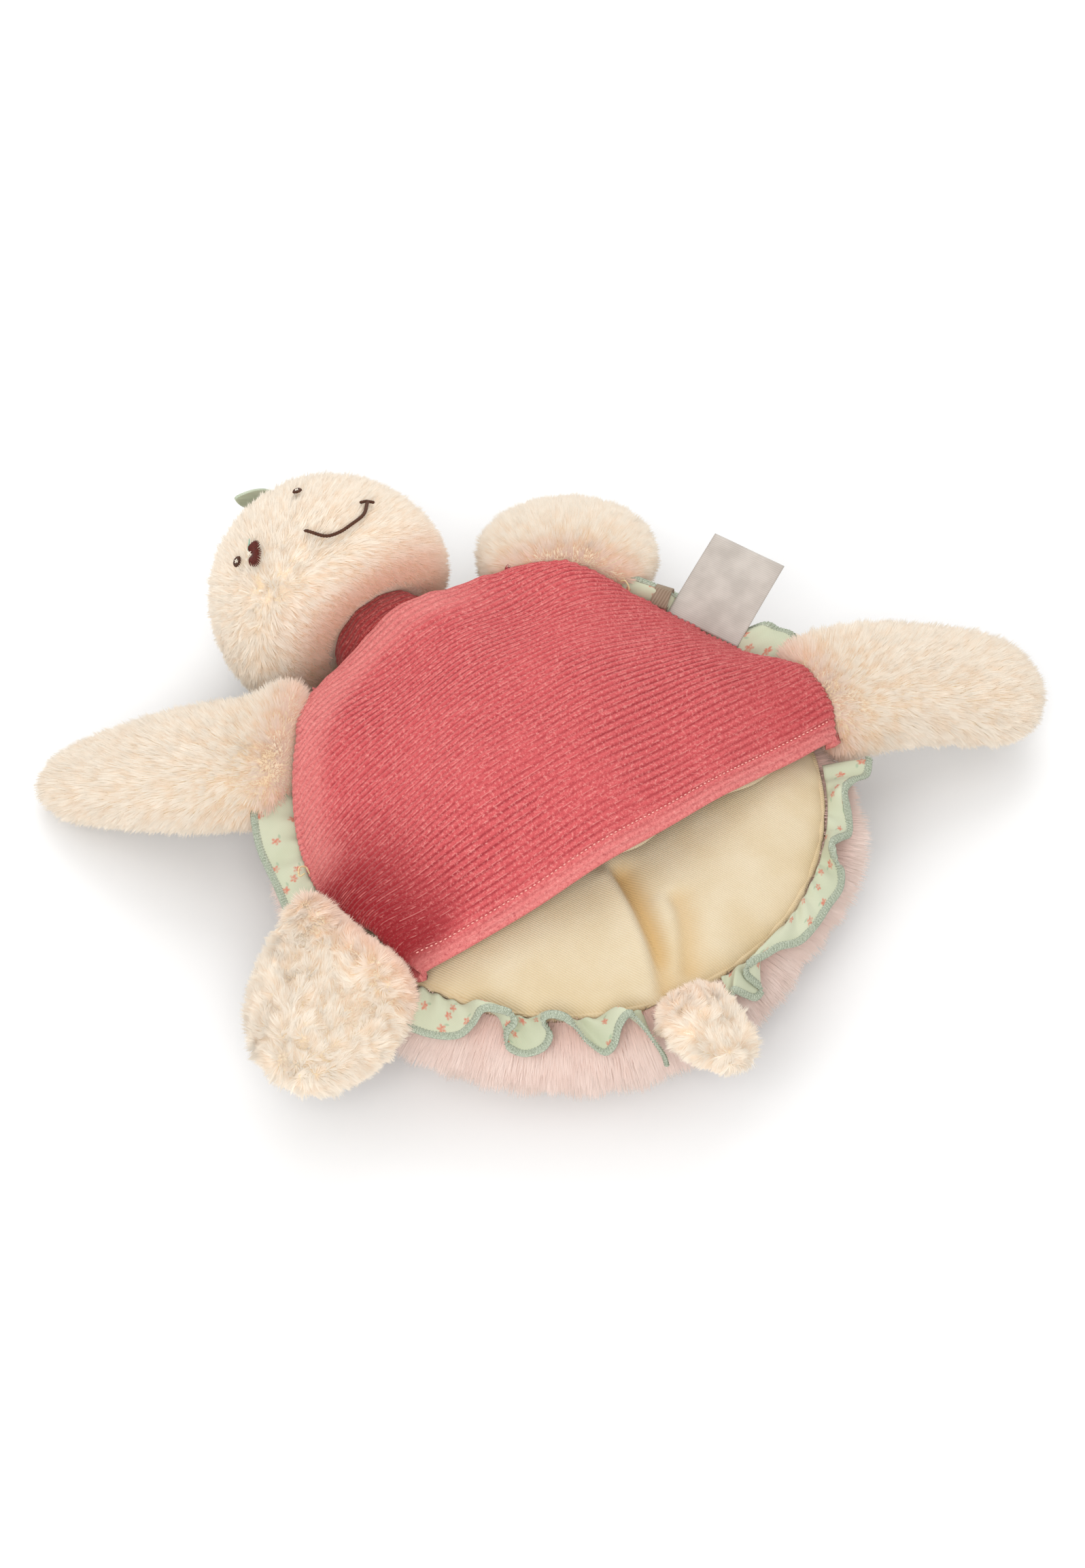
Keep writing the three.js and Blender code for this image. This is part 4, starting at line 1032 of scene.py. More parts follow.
def back_lining():
    """The twill disc over the shell's filling, turned down at the seam, with painted shade in its folds and at its
    seam.
    """
    inner_rings, rim_rings, segments = 50, 34, 252
    edge = np.concatenate([np.linspace(0, 0.86, inner_rings), np.linspace(0.872, 1, rim_rings)])
    points, uvs = [], []
    angle = np.arange(segments) * 360 / segments
    sin, cos = np.sin(np.radians(angle)), np.cos(np.radians(angle))
    for share in edge[1:]:
        radius = (SEAM_RADIUS - 0.4) * share
        x, y = radius * sin, radius * cos
        z = lining_surface(x, y)
        points += list(np.stack([x, y, z], 1))
        uvs += list(np.stack([x, y], 1))
    rows = len(edge) - 1
    for drop, radius in ((1.5, SEAM_RADIUS - 1.2), (2.4, SEAM_RADIUS - 3)):
        x, y = radius * sin, radius * cos
        points += list(np.stack([x, y, np.full(segments, SEAM_HEIGHT + 0.6 - drop * 0.3)], 1))
        uvs += list(np.stack([x, y], 1))
        rows += 1
    faces = grid_faces(rows, segments, wrap=True)
    centre = len(points)
    points.append((0, 0, float(lining_top(0.0))))
    uvs.append((0, 0))
    faces += [(centre, (i + 1) % segments, i) for i in range(segments)]
    mesh = face_up(mesh_from("pocket_back", points, faces, uvs))
    place = np.asarray(points)
    # Painted shade in the pleats' creases and along the seam
    deep, shallow = pleats(place[:, 0], place[:, 1])
    crease = -deep - shallow
    seam_shade = 0.4 * np.exp(-(SEAM_RADIUS - np.hypot(place[:, 0], place[:, 1])) / 5)
    add_field(mesh, "fold", np.clip(crease / 6 + seam_shade, 0, 0.85))
    mesh = applied(mesh, "SOLIDIFY", thickness=0.8 * MM, offset=-1)
    piece = place_piece("pocket_back", mesh, "lining_twill", "body", ("pocket_back_lining",))


def face_up(mesh):
    """Turns an open sheet's faces so that most of them look up."""
    total = sum(face.normal.z * face.area for face in mesh.polygons)
    if total < 0:
        mesh.flip_normals()
    return mesh


def belly_rows(rows, columns):
    """Flat places of the belly's cloth: rows from the hem to the neck, each from seam to seam."""
    q, p = rows[:, None], columns[None, :]
    tilt = HEM_TILT * p * (1 - q)
    front_y = SEAM_RADIUS * math.cos(math.radians(FRONT_ROW_ANGLE))
    end_y = HEM_CORNER_Y + (front_y - HEM_CORNER_Y) * q - tilt
    middle = HEM_CORNER_Y - MOUTH_SAG + (SEAM_RADIUS - HEM_CORNER_Y + MOUTH_SAG) * q - tilt
    x = np.sqrt(SEAM_RADIUS ** 2 - end_y ** 2) * p
    y = end_y + (middle - end_y) * (1 - p ** 2)
    over = np.minimum(1, SEAM_RADIUS / np.maximum(np.hypot(x, y), 1))
    return x * over, y * over


def belly_height(x, y):
    """The belly's height with its soft lumps, its puckers and its rounded edge."""
    gap = np.maximum(SEAM_RADIUS - np.hypot(x, y), 0)
    angle = np.degrees(np.arctan2(x, y))
    z = belly_top(x, y)
    lumps = 1.3 * np.sin(x / 17 + y / 31) * np.sin(y / 21 - 0.6) + 0.7 * np.sin(x / 9.5 - y / 14)
    z = z + lumps * smoothstep(gap, 0, 25)
    z = z + 0.8 * wrinkle(angle, 3) * np.exp(-gap / 7)
    return z - 2.6 * np.exp(-gap / 2.5)


def belly_place(rows, columns):
    """Points of the belly's cloth, whose edge hangs out over the seam."""
    x, y = belly_rows(rows, columns)
    radius = np.maximum(np.hypot(x, y), 1)
    angles, reaches = zip(*OVERHANG)
    overhang = np.interp(np.degrees(np.arctan2(x, y)), angles, reaches) * smoothstep(radius / SEAM_RADIUS, 0.75, 1)
    return np.stack([x * (1 + overhang / radius), y * (1 + overhang / radius), belly_height(x, y)], -1)


def belly_lining():
    """Cotton behind the corduroy. It shows inside the mouth, and its edge peeps out in two places."""
    across = np.linspace(-1, 1, 81)
    rows = np.concatenate([[0.012, 0.03], np.linspace(0.06, 0.995, 40)])
    place = belly_place(rows, across * 0.985)
    place[..., 2] -= 3.6
    peep = np.exp(-((across - 0.02) / 0.1) ** 2) + np.exp(-((across - 0.62) / 0.12) ** 2)
    place[0, :, 1] -= 2.2 * peep + 1.0
    place[0, :, 2] -= 1.6
    place[1, :, 1] -= 1.0 * peep
    place[1, :, 2] -= 1.4
    points = place.reshape(-1, 3)
    mesh = face_up(mesh_from("belly_lining_cloth", points, grid_faces(len(rows), len(across)), points[:, :2]))
    mesh = applied(mesh, "SOLIDIFY", thickness=0.7 * MM, offset=-1)
    piece = place_piece("belly_lining_cloth", mesh, "lining_twill", "body", ("belly_lining",))


class PUPPET_OT_belly(bpy.types.Operator):
    """Makes the corduroy belly with its ribs, hem and topstitching"""
    bl_idname = "puppet.belly"
    bl_label = "Belly"

    def execute(self, context):
        ribs = round((SEAM_RADIUS - HEM_CORNER_Y + MOUTH_SAG) / size("rib_pitch"))
        steps = 6
        rows = np.linspace(0, 1, ribs * steps + 1)
        across = np.linspace(-1, 1, 101)
        place = belly_place(rows, across)
        uv = np.stack([np.broadcast_to(across * 90, place.shape[:2]),
                       np.broadcast_to((rows * ribs)[:, None], place.shape[:2])], -1)
        place, uv = with_hem(place, uv, steps)
        rib = np.abs(np.cos(math.pi * uv[..., 1])) ** 3
        wear_and_shade = np.exp(-((place[..., 0] + 30) / 50) ** 2 - ((place[..., 1] + 15) / 40) ** 2)
        depth = size("rib_depth") * (1.15 - 0.85 * wear_and_shade)
        edges = place.copy()
        place = place - grid_normals(place) * (depth * rib)[..., None]
        place, uv = tucked(place, uv, edges)
        mesh = mesh_from("belly", place.reshape(-1, 3), grid_faces(*place.shape[:2]), uv.reshape(-1, 2))
        mesh = face_up(mesh)
        x, y = place[..., 0].ravel(), place[..., 1].ravel()
        gap = SEAM_RADIUS - np.hypot(x, y)
        angle = np.degrees(np.arctan2(x, y))
        from_hem = uv[..., 1].ravel() * size("rib_pitch")
        # Painted shade: dark over the lower left of the belly, by the hind left leg, and lighter on its right side
        brushed = smoothstep(gap, 46, 4) * smoothstep(angle, -62, -90) * smoothstep(angle, -118, -110)
        add_field(mesh, "brushed", brushed + 0.25 * smoothstep(x, 60, 95))
        # Painted highlight along the hem and along the belly's front left edge
        rim = smoothstep(gap, 16, 4) * smoothstep(angle, -84, -72) * smoothstep(angle, 22, 4)
        add_field(mesh, "crushed", 0.4 * np.exp(-(from_hem / 4.5) ** 2) + 0.4 * rim)
        mesh = applied(mesh, "SOLIDIFY", thickness=1.5 * MM, offset=-1)
        piece = place_piece("belly_corduroy_panel", mesh, "belly_corduroy", "body", ("belly_panel",))
        topstitches()
        return {"FINISHED"}


def grid_normals(place):
    """The directions out of a cloth that is laid out as a grid."""
    ahead = np.gradient(place, axis=1)
    forward = np.gradient(place, axis=0)
    normal = np.cross(ahead, forward)
    normal /= np.maximum(np.linalg.norm(normal, axis=-1), 1e-9)[..., None]
    return normal


def with_hem(place, uv, steps):
    """Adds the folded hem: round the edge and back under the first ribs."""
    radius = size("hem_fold") / 2
    first = place[0]
    back = place[1] - place[0]
    back[:, 2] = 0
    back /= np.linalg.norm(back, axis=1)[:, None]
    turns = np.radians(np.linspace(180, 0, 9)[1:])
    rows = []
    for turn in turns:
        offset = -back * math.sin(turn) * radius * 0.9
        drop = radius * (1 + math.cos(turn))
        rows.append(first + offset - np.array([0, 0, 1]) * drop)
    for reach in (2.5, 5, 7):
        rows.append(first + back * reach - np.array([0, 0, 1]) * (2 * radius + 0.2))
    rows = rows[::-1]
    marks = [uv[0] - np.array([0, (len(rows) - k) / steps]) for k in range(len(rows))]
    return np.concatenate([np.stack(rows), place]), np.concatenate([np.stack(marks), uv])


def tucked(place, uv, edges):
    """The cloth with its sides and its front turned down into the seam, or onto the limbs' roots and the neck."""
    def turned(edge, starts_at_hem):
        """Rows that lead from an edge of the cloth down into the seam."""
        rim = np.linalg.norm(edge[:, :2], axis=1)
        away = edge * [1, 1, 0] / rim[:, None]
        angle = np.degrees(np.arctan2(edge[:, 0], edge[:, 1]))
        carried = sum(np.exp(-((angle - at) / 13) ** 2) for at in [0, *LIMB_ANGLES.values()])
        carried = np.minimum(carried, 1)
        drop = np.maximum(edge[:, 2] - SEAM_HEIGHT - 1, 3) * (1 - carried) + 6 * carried
        inward = np.maximum(rim - SEAM_RADIUS - 0.4, 0) * (1 - carried)
        if starts_at_hem:
            drop = drop * (0.25 + 0.75 * smoothstep(np.arange(len(edge)), 8, 40))
        for share in (0.12, 0.35, 0.65, 1.0):
            reach = 2.0 * math.sin(math.pi * min(share, 0.9)) - inward * share ** 1.5
            yield edge + away * reach[:, None] - np.outer(drop * share ** 1.3, [0, 0, 1])

    sides = []
    for column in (0, -1):
        rows = [edge + place[:, column] - edges[:, column] for edge in turned(edges[:, column], True)]
        marks = [uv[:, column] + np.array([k + 1, 0]) for k in range(len(rows))]
        sides.append((rows[::-1], marks[::-1]) if column == 0 else (rows, marks))
    (left, left_marks), (right, right_marks) = sides
    place = np.concatenate([np.stack(left, 1), place, np.stack(right, 1)], axis=1)
    uv = np.concatenate([np.stack(left_marks, 1), uv, np.stack(right_marks, 1)], axis=1)
    front = list(turned(place[-1], False))
    front_marks = [uv[-1] + np.array([0, 0.4 * (k + 1)]) for k in range(len(front))]
    return np.concatenate([place, np.stack(front)]), np.concatenate([uv, np.stack(front_marks)])


def topstitches():
    """A row of small pale stitches along the hem."""
    across = np.linspace(-0.97, 0.97, 160)
    row = 5.2 / (SEAM_RADIUS - HEM_CORNER_Y + MOUTH_SAG)
    place = belly_place(np.array([row, row + 0.004]), across)
    normal = grid_normals(place)[0]
    mesh = stitches(place[0] - normal * 0.15, normal, "thread_pink", size("hem_stitch"), 1.3, 0.6, 0.5)
    mesh.name = "hem_topstitching"
    place_piece("hem_topstitching", mesh, "thread_pink", "body", ())


class PUPPET_OT_collar(bpy.types.Operator):
    """Makes the corduroy collar on the neck"""
    bl_idname = "puppet.collar"
    bl_label = "Neck collar"

    def execute(self, context):
        centre, radius = np.array(NECK_CENTRE), NECK_RADIUS
        stations = np.linspace(-6, 17.5, 51)
        turns = np.radians(np.arange(96) * 360 / 96)
        points, uvs = [], []
        for k, station in enumerate(stations):
            rib = station / size("rib_pitch")
            across = math.sqrt(radius ** 2 - station ** 2) - 0.3 - 0.4 * abs(math.cos(math.pi * rib))
            ripple = 0.35 * np.sin(11 * turns + 0.1 * k) + 0.25 * np.sin(7 * turns)
            x = centre[0] + (across + ripple) * np.cos(turns)
            z = centre[2] + (across + ripple) * np.sin(turns)
            points += list(np.stack([x, np.full(len(turns), centre[1] + station), z], 1))
            uvs += list(np.stack([turns * radius, np.full(len(turns), rib)], 1))
        faces = grid_faces(len(stations), len(turns), wrap=True)
        mesh = outside_out(mesh_from("collar", points, faces, uvs))
        mesh = applied(mesh, "SOLIDIFY", thickness=1.2 * MM, offset=-1)
        piece = place_piece("neck_collar_band", mesh, "collar_corduroy", "body", ("neck_collar", "neck_filling"))
        return {"FINISHED"}


# Frills: each is sewn into the seam between two angles, and its free edge passes through folds given as
# angle, reach beyond the seam and rise over it
FRILLS = {
    "frill_left": ((277, 316), [
        (275, 17, 1), (280, 16, 1), (286, 15, 0), (291, 15.5, -1), (297, 17, -1.5), (303, 18, 0), (308, 18, 2),
        (312, 17, 6), (314, 18, 9), (317, 20, 10)]),
    "frill_right": ((46, 86), [
        (47, 17, 2), (50, 13, 5), (55, 9, 8), (59, 10, 5), (63, 14, -3), (68, 16, -5), (72, 16, -4), (75, 13, -2),
        (78.5, 17, 5), (81, 19, 4), (84, 20, 6), (88, 18, 7)]),
    "frill_rear_left": ((248, 199), [
        (248, 19, -2), (241, 17, -3), (236, 14, -2), (233.5, 10, 3), (232, 7, 9), (229, 6, 10), (226, 7, 10),
        (225.2, 9, 7), (226.6, 11, 3), (226.2, 14, -2), (223, 15, -4), (219.5, 13, -2), (218.2, 10, 3),
        (219.8, 7.5, 8), (218.5, 6.5, 10.5), (215.5, 7, 10), (213, 9.5, 6), (211.2, 12, 1), (208, 14.5, -4),
        (206, 13.5, -1), (204.6, 10, 6), (202.6, 9, 11), (200.8, 12, 8), (199, 17, 2), (197.5, 20, -5),
        (197, 21, -11)]),
    "frill_rear_right": ((115, 180), [
        (114, 21, -2), (118, 18, -1), (120.5, 12, 3), (124, 8, 5), (128, 9.5, 0), (132, 10, -2), (136, 7, 4),
        (139.5, 5, 8), (141.5, 7, 4), (142.5, 10.5, 0), (146, 12, -2), (151, 11, -1), (157, 11, 0), (162, 10, 0),
        (167, 7, 4), (171, 6, 5), (175.5, 6, 7), (176.6, 7.5, 4), (175.5, 10, 0), (174.6, 12.5, -4),
        (177, 14.5, -3), (179.4, 13, 2), (181.4, 12, 6), (182.4, 15, 2), (183, 18, -4)]),
}


class PUPPET_OT_frills(bpy.types.Operator):
    """Makes the four gathered frills and their overlocked edges"""
    bl_idname = "puppet.frills"
    bl_label = "Frills"

    def execute(self, context):
        for name, ((start, end), folds) in FRILLS.items():
            frill(name, start, end, folds)
        return {"FINISHED"}


def frill(name, start, end, folds):
    """A frill's cloth from the seam to its folded free edge, and the overlocked band round that edge."""
    tips = [outward(a) * (SEAM_RADIUS + reach) + [0, 0, SEAM_HEIGHT + rise] for a, reach, rise in folds]
    edge = even_path(smooth_path(tips, 400), 1.0)
    share = np.linspace(0, 1, len(edge))
    angle = start + (end - start) * share
    inner = np.stack([outward(a) * (SEAM_RADIUS + 0.6) for a in angle])
    inner[:, 2] = SEAM_HEIGHT + 0.9 + 0.8 * np.sin(share * len(edge) / 2.1)
    columns = 15
    rows, uvs = [], []
    ease = np.linspace(0, 1, columns)
    along = np.arange(len(edge)) * 1.0
    for s in ease:
        line = inner * (1 - s) + edge * s
        billow = math.sin(math.pi * s)
        line[:, 2] += billow * (1.2 + 0.35 * (edge[:, 2] - SEAM_HEIGHT)) + 0.5 * billow * np.sin(along / 3.3)
        rows.append(line)
        uvs.append(np.stack([along, np.full(len(edge), s * 18)], 1))
    place = np.stack(rows, 1)
    mesh = mesh_from(name, place.reshape(-1, 3), grid_faces(len(edge), columns), np.stack(uvs, 1).reshape(-1, 2))
    mesh = face_up(mesh)
    mesh = applied(mesh, "SOLIDIFY", thickness=0.35 * MM, offset=0)
    piece = place_piece(name + "_cloth", mesh, "frill_print", "body", (name,))
    tangent = np.gradient(edge, axis=0)
    inward = place[:, -2] - place[:, -1]
    up = np.cross(tangent, inward)
    up *= np.sign(np.sum(up[:, 2]))
    up /= np.linalg.norm(up, axis=1)[:, None]
    inward /= np.linalg.norm(inward, axis=1)[:, None]
    width = size("overlock_width")
    path = edge + inward * width * 0.3
    band = joined("band", [sweep(path, up, width * 0.95, 0.9, 8, 0.5)])
    wraps = stitches(path, up, "thread_overlock", size("overlock_pitch"), width * 1.04, 0.85, 2.1, 74)
    trim = merged_meshes(name + "_edge", [band, wraps])
    place_piece(name + "_edge", trim, "thread_overlock", "body", (name + "_overlock",))


class PUPPET_OT_face(bpy.types.Operator):
    """Embroiders the eyes, the flower, the smile, and makes the leaf"""
    bl_idname = "puppet.face"
    bl_label = "Face"

    def execute(self, context):
        eye("left_eye", "eye_left", 2.3)
        eye("right_eye", "eye_right", 1.9)
        blossom()
        smile()
        leaf()
        return {"FINISHED"}


def head_frame(centre):
    """Directions on the head at a point: sideways, to the crown, and out."""
    out = centre - HEAD_CENTRE
    out /= np.linalg.norm(out)
    crown = np.array([0.0, 1.0, 0.0]) - out * out[1]
    crown /= np.linalg.norm(crown)
    return np.cross(crown, out), crown, out


def fan(centre, directions, spokes, inner, outer, thickness, turn=0.0, spread=360.0):
    """Paths of short stitches that run outward round a centre."""
    side, crown, out = directions
    parts = []
    for k in range(spokes):
        angle = math.radians(turn + spread * k / spokes)
        heading = side * math.cos(angle) + crown * math.sin(angle)
        middle = centre + heading * (inner + outer) / 2 + out * thickness * 0.6
        path = smooth_path([centre + heading * inner, middle, centre + heading * outer], 7)
        parts.append(sweep(path, np.tile(out, (7, 1)), thickness, thickness * 0.9, 6, 0.6))
    return parts


def eye(name, solid, radius):
    """A round eye of radial stitches with a pale glint."""
    centre = on_face(solid)
    directions = head_frame(centre)
    parts = fan(centre, directions, 16, radius * 0.3, radius, 0.85)
    place_piece(name, joined(name, parts), "thread_brown", "head", (solid,))
    _, crown, out = directions
    glint = centre + out * 0.5 + crown * radius * 0.1
    parts = fan(glint, directions, 4, 0.1, radius * 0.42, 0.5, 20)
    place_piece(name + "_glint", joined(name + "_glint", parts), "thread_white", "head", ())


def blossom():
    """A satin-stitched blossom of three lobes beside the left eye, with a pale heart, a fleck and a stem."""
    centre = on_face("cheek_flower")
    side, crown, out = head_frame(centre)
    parts = []
    for turn, far, wide in ((24, 6.2, 1.4), (312, 5.4, 1.4), (268, 7.0, 1.3)):
        heading = side * math.cos(math.radians(turn)) + crown * math.sin(math.radians(turn))
        sideways = np.cross(out, heading)
        for k in range(-4, 5):
            offset = sideways * k * 0.55 * wide
            reach = far * math.sqrt(1 - (k / 5) ** 2)
            start = centre + heading * 0.5 + offset * 0.4
            stop = centre + heading * reach + offset
            path = smooth_path([start, (start + stop) / 2 + out * 0.6, stop], 7)
            parts.append(sweep(path, np.tile(out, (7, 1)), 0.7, 0.7, 6, 0.6))
    place_piece("blossom", joined("blossom", parts), "thread_red", "head", ("cheek_flower",))
    parts = fan(centre + out * 1.0, (side, crown, out), 5, 0.1, 1.1, 0.55)
    parts += fan(centre + out * 0.5 - side * 2.4 - crown * 0.6, (side, crown, out), 3, 0.1, 0.7, 0.45)
    place_piece("blossom_heart", joined("blossom_heart", parts), "thread_white", "head", ())
    root = centre + crown * 2.5 + out * 0.4
    stop = on_head(centre + side * 3.4 + crown * 7 - HEAD_CENTRE, 0.6)
    path = smooth_path([root, (root + stop) / 2 + side * 0.6 + out * 0.2, stop], 12)
    stem = joined("blossom_stem", [sweep(path, np.tile(out, (12, 1)), 0.6, 0.6, 6, 0.6)])
    place_piece("blossom_stem", stem, "thread_green", "head", ("flower_stem",))


def smile():
    """The smile in stem stitch, with a short tick at its right end."""
    path = np.stack([on_head(p, 0.35) for p in smooth_path(SMILE, 90)])
    ups = (path - HEAD_CENTRE) / np.linalg.norm(path - HEAD_CENTRE, axis=1)[:, None]
    parts = [stitches(path, ups, "thread_brown", 1.1, 2.8, 1.5, 1.3, 14)]
    end = path[-1]
    side, crown, _ = head_frame(end)
    tick = np.stack([on_head(end - HEAD_CENTRE + side * k + crown * (0.8 - 0.3 * k - 0.27 * abs(k)), 0.35)
                     for k in np.linspace(-2.4, 2.4, 12)])
    ups = (tick - HEAD_CENTRE) / np.linalg.norm(tick - HEAD_CENTRE, axis=1)[:, None]
    parts.append(stitches(tick, ups, "thread_brown", 0.8, 1.9, 1.5, 1.3, 10))
    mesh = merged_meshes("smile_stitching", parts)
    place_piece("smile_stitching", mesh, "thread_brown", "head", ("smile",))


def leaf():
    """A padded satin leaf with a rolled edge and a crease down its middle."""
    root = on_head((8, 44, 5), 0.3)
    tip = on_head((-9, 51.5, 17), 7.5)
    out = on_head((0, 47, 11), 1) - HEAD_CENTRE
    out /= np.linalg.norm(out)
    run = tip - root
    side = np.cross(out, run)
    side /= np.linalg.norm(side)
    stations = np.linspace(0, 1, 25)
    across = np.linspace(-1, 1, 15)
    points, uvs = [], []
    for t in stations:
        half = 6.2 * (math.sin(math.pi * t ** 0.85) ** 0.75 if 0 < t < 1 else 0.02)
        for s in across:
            lift = 1.6 * math.sin(math.pi * t) * (1 - s * s) * 0.4 - 0.5 * math.exp(-(s / 0.12) ** 2)
            points.append(root + run * t + side * s * half + out * (lift + 1.2 * math.sin(math.pi * t)))
            uvs.append((s * half, t * 24))
    mesh = face_up(mesh_from("leaf", points, grid_faces(len(stations), len(across)), uvs))
    mesh = applied(mesh, "SOLIDIFY", thickness=1.1 * MM, offset=0)
    mesh = applied(mesh, "SUBSURF", levels=1, render_levels=1)
    place_piece("crown_leaf", mesh, "satin_leaf", "head", ("head_leaf",))


class PUPPET_OT_trim(bpy.types.Operator):
    """Makes the plain care label, the ribbon loop and two loose thread ends"""
    bl_idname = "puppet.trim"
    bl_label = "Label and ribbon"

    def execute(self, context):
        label()
        ribbon()
        loose_ends()
        return {"FINISHED"}


def seam_frame(angle, tilt):
    """At the seam: along it, outward and tilted up, and out of the cloth's face."""
    side = np.array([math.cos(math.radians(angle)), -math.sin(math.radians(angle)), 0.0])
    away = outward(angle) * math.cos(math.radians(tilt)) + np.array([0, 0, math.sin(math.radians(tilt))])
    return side, away, np.cross(side, away)


def label():
    """A blank satin label, slightly curled."""
    side, away, face = seam_frame(*LABEL_SEAT)
    seat = outward(LABEL_SEAT[0]) * (SEAM_RADIUS + 0.4) + np.array([0, 0, SEAM_HEIGHT + 2.1])
    width, length = size("label_width"), size("label_length")
    rows, columns = 49, 41
    points, uvs = [], []
    for t in np.linspace(0, 1, rows):
        for s in np.linspace(-0.5, 0.5, columns):
            lift = 0.9 * math.sin(math.pi * t) * math.cos(2.4 * s) + 1.1 * t * t * s + 0.12 * math.sin(9 * s + 4 * t)
            points.append(seat + side * s * width + away * t * length + face * lift)
            uvs.append((s * width, t * length))
    mesh = face_up(mesh_from("label", points, grid_faces(rows, columns), uvs))
    mesh = applied(mesh, "SOLIDIFY", thickness=0.3 * MM, offset=0)
    piece = place_piece("blank_label", mesh, "satin_label", "care_label", ("care_label",))


def ribbon():
    """A folded twill ribbon."""
    side, away, face = seam_frame(*RIBBON_SEAT)
    seat = outward(RIBBON_SEAT[0]) * (SEAM_RADIUS + 1.3) + np.array([0, 0, SEAM_HEIGHT + 3.9])
    width, length, loop = 7.0, 9.0, 2.2
    route = [(0, -1.2), (3, -1.8), (length - loop, -loop)]
    route += [(length - loop + loop * math.cos(a), loop * math.sin(a)) for a in np.radians(np.linspace(-70, 70, 9))]
    route += [(length - loop, loop), (3, 1.8), (0, 1.2)]
    curve = smooth_path([(a, b, 0) for a, b in route], 60)
    points, uvs = [], []
    for k, (a, b, _) in enumerate(curve):
        for s in np.linspace(-0.5, 0.5, 13):
            points.append(seat + away * a + face * b + side * s * width)
            uvs.append((s * width, k * 0.45))
    mesh = mesh_from("ribbon", points, grid_faces(len(curve), 13), uvs)
    mesh = applied(mesh, "SOLIDIFY", thickness=0.6 * MM, offset=0)
    place_piece("folded_ribbon", outside_out(mesh), "ribbon_twill", "body", ("ribbon_loop",))


def loose_ends():
    """Two loose ends of sewing thread at the seam."""
    routes = {
        "thread_end_left": (286, [(0, 0, 3), (2, 1, 6), (1, 4, 8), (-2, 5, 7), (-3, 3, 9)]),
        "thread_end_front": (50, [(0, 0, 6), (1, 2, 9), (-1, 4, 11), (-3, 4, 10)]),
    }
    for name, (angle, offsets) in routes.items():
        side, away, _ = seam_frame(angle, 0)
        base = outward(angle) * (SEAM_RADIUS + 1) + np.array([0, 0, SEAM_HEIGHT])
        path = smooth_path([base + side * a + away * b + np.array([0, 0, c]) for a, b, c in offsets], 24)
        mesh = joined(name, [sweep(path, np.tile([0.1, 0.2, 1.0], (24, 1)), 0.7, 0.7, 6, 0.4)])
        place_piece(name, mesh, "thread_cream", "body", ())


class PUPPET_OT_stage(bpy.types.Operator):
    """Makes the pale floor, the soft lights and the camera"""
    bl_idname = "puppet.stage"
    bl_label = "Stage"

    def execute(self, context):
        half = FLOOR_HALF
        corners = [(-half, -half, 0), (half, -half, 0), (half, half, 0), (-half, half, 0)]
        mesh = mesh_from("floor", corners, [(0, 1, 2, 3)])
        floor = bpy.data.objects.new("floor", mesh)
        context.scene.collection.objects.link(floor)
        mesh.materials.append(painted_floor())
        world = bpy.data.worlds.new("studio")
        world.use_nodes = True
        world.node_tree.nodes.clear()
        sky = node(world.node_tree, "ShaderNodeBackground", {"Color": (1, 1, 1, 1), "Strength": SKY_STRENGTH})
        node(world.node_tree, "ShaderNodeOutputWorld", {"Surface": sky})
        context.scene.world = world
        for name, (place, width, power) in LAMPS.items():
            area_light(name, place, width, power)
        camera(context)
        context.scene.view_settings.view_transform = "Standard"
        return {"FINISHED"}


def area_light(name, place, width, power):
    """A round soft lamp that faces the puppet."""
    data = bpy.data.lights.new(name, "AREA")
    data.shape = "DISK"
    data.size = width * MM
    data.energy = power
    lamp = bpy.data.objects.new(name, data)
    lamp.location = Vector(place) * MM
    lamp.rotation_euler = (Vector((0, 0, 50 * MM)) - lamp.location).to_track_quat("-Z", "Y").to_euler()
    bpy.context.scene.collection.objects.link(lamp)


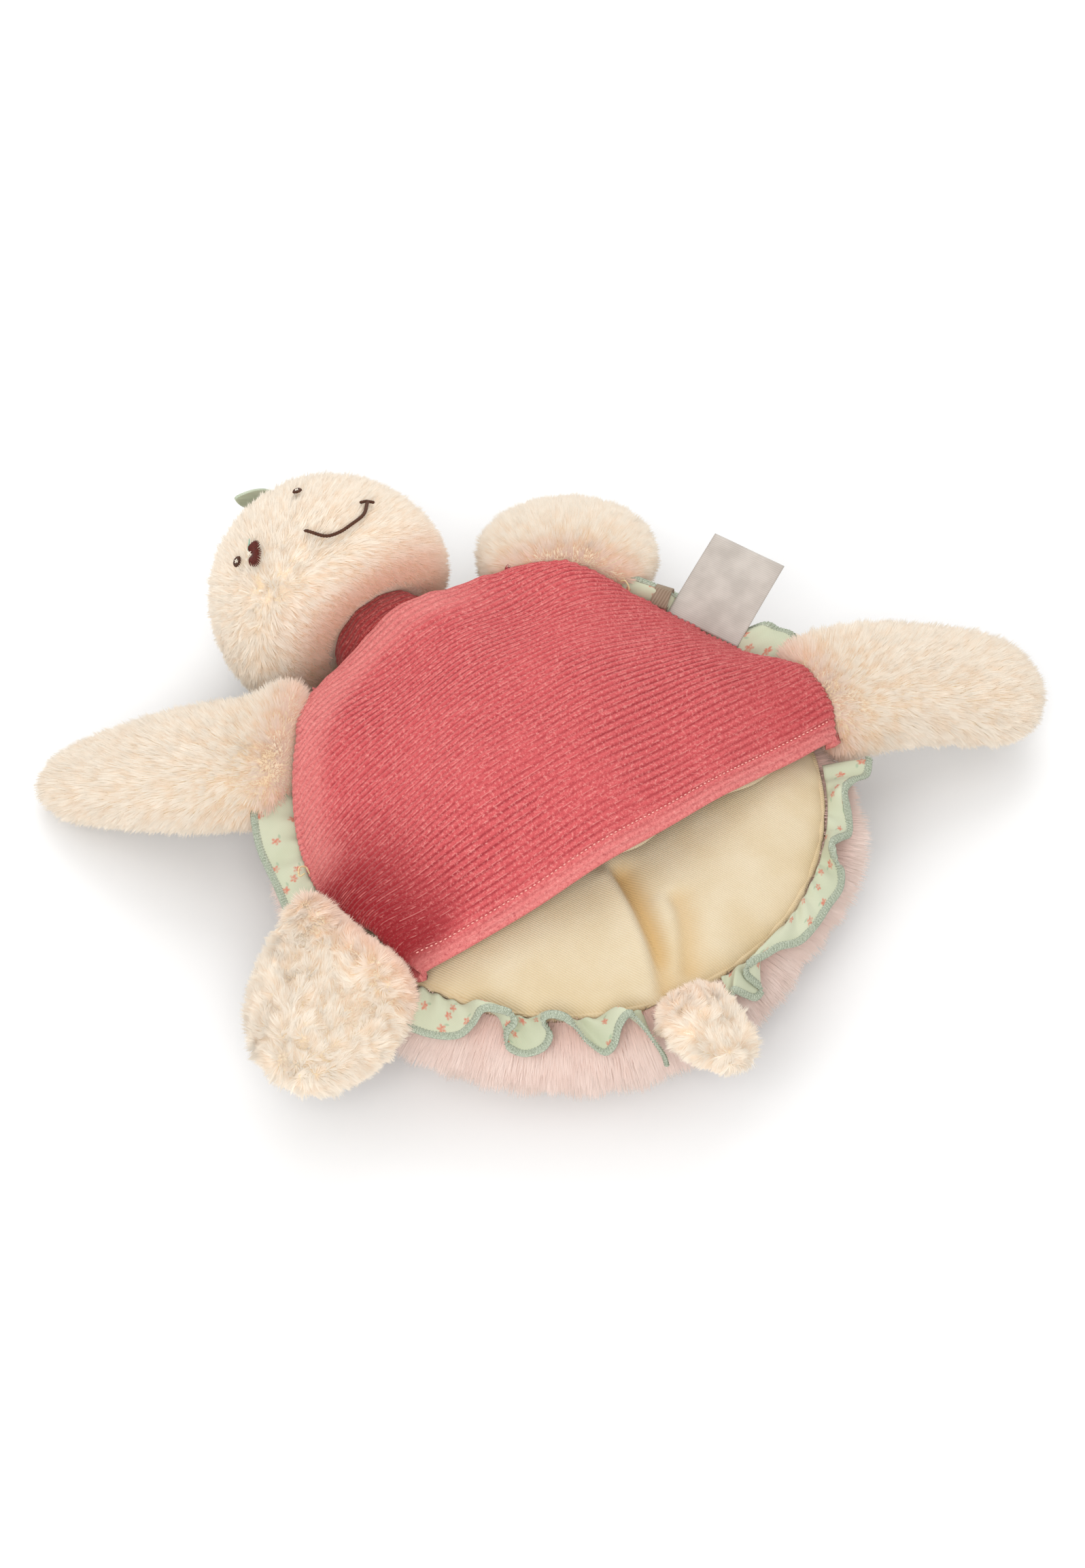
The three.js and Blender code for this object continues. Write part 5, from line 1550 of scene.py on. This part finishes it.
def camera(context):
    """A long lens at the photograph's angle, whose frame is the photograph's."""
    azimuth, elevation = math.radians(CAMERA_AZIMUTH), math.radians(CAMERA_ELEVATION)
    level = math.cos(elevation)
    back = Vector((math.sin(azimuth) * level, -math.cos(azimuth) * level, math.sin(elevation)))
    data = bpy.data.cameras.new("camera")
    data.lens = CAMERA_LENS
    data.sensor_width = SENSOR
    distance = max(PHOTO_SIZE) / PHOTO_PIXELS_PER_MM / SENSOR * CAMERA_LENS
    made = bpy.data.objects.new("camera", data)
    made.location = (Vector(PHOTO_TARGET) + back * distance) * MM
    made.rotation_euler = (-back).to_track_quat("-Z", "Y").to_euler()
    data.clip_end = CAMERA_REACH_M
    context.scene.collection.objects.link(made)
    context.scene.camera = made


OPERATORS = (PUPPET_OT_stage, PUPPET_OT_shell, PUPPET_OT_limbs, PUPPET_OT_head, PUPPET_OT_pocket, PUPPET_OT_belly,
             PUPPET_OT_collar, PUPPET_OT_frills, PUPPET_OT_face, PUPPET_OT_trim)


class PUPPET_PT_panel(bpy.types.Panel):
    """Lists the puppet's pieces"""
    bl_idname = "PUPPET_PT_panel"
    bl_label = "Turtle hand puppet"
    bl_space_type = "VIEW_3D"
    bl_region_type = "UI"
    bl_category = "Puppet"

    def draw(self, context):
        for group in (context.scene.puppet_sizes, context.scene.puppet_colours):
            for label in type(group).__annotations__:
                self.layout.prop(group, label)
        for operator in OPERATORS:
            self.layout.operator(operator.bl_idname)


CLASSES = (PuppetSizes, PuppetColours, *OPERATORS, PUPPET_PT_panel)


def register():
    """Makes the operators, the panel and the user's sizes and colours known to Blender."""
    for kind in CLASSES:
        bpy.utils.register_class(kind)
    bpy.types.Scene.puppet_sizes = PointerProperty(type=PuppetSizes)
    bpy.types.Scene.puppet_colours = PointerProperty(type=PuppetColours)


def unregister():
    """Takes back what register did."""
    del bpy.types.Scene.puppet_colours
    del bpy.types.Scene.puppet_sizes
    for kind in reversed(CLASSES):
        bpy.utils.unregister_class(kind)


def main():
    """Makes the operators known and runs each of them to dress the puppet."""
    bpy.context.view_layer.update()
    register()
    for operator in OPERATORS:
        group, name = operator.bl_idname.split(".")
        getattr(getattr(bpy.ops, group), name)()


if __name__ == "__main__":
    main()
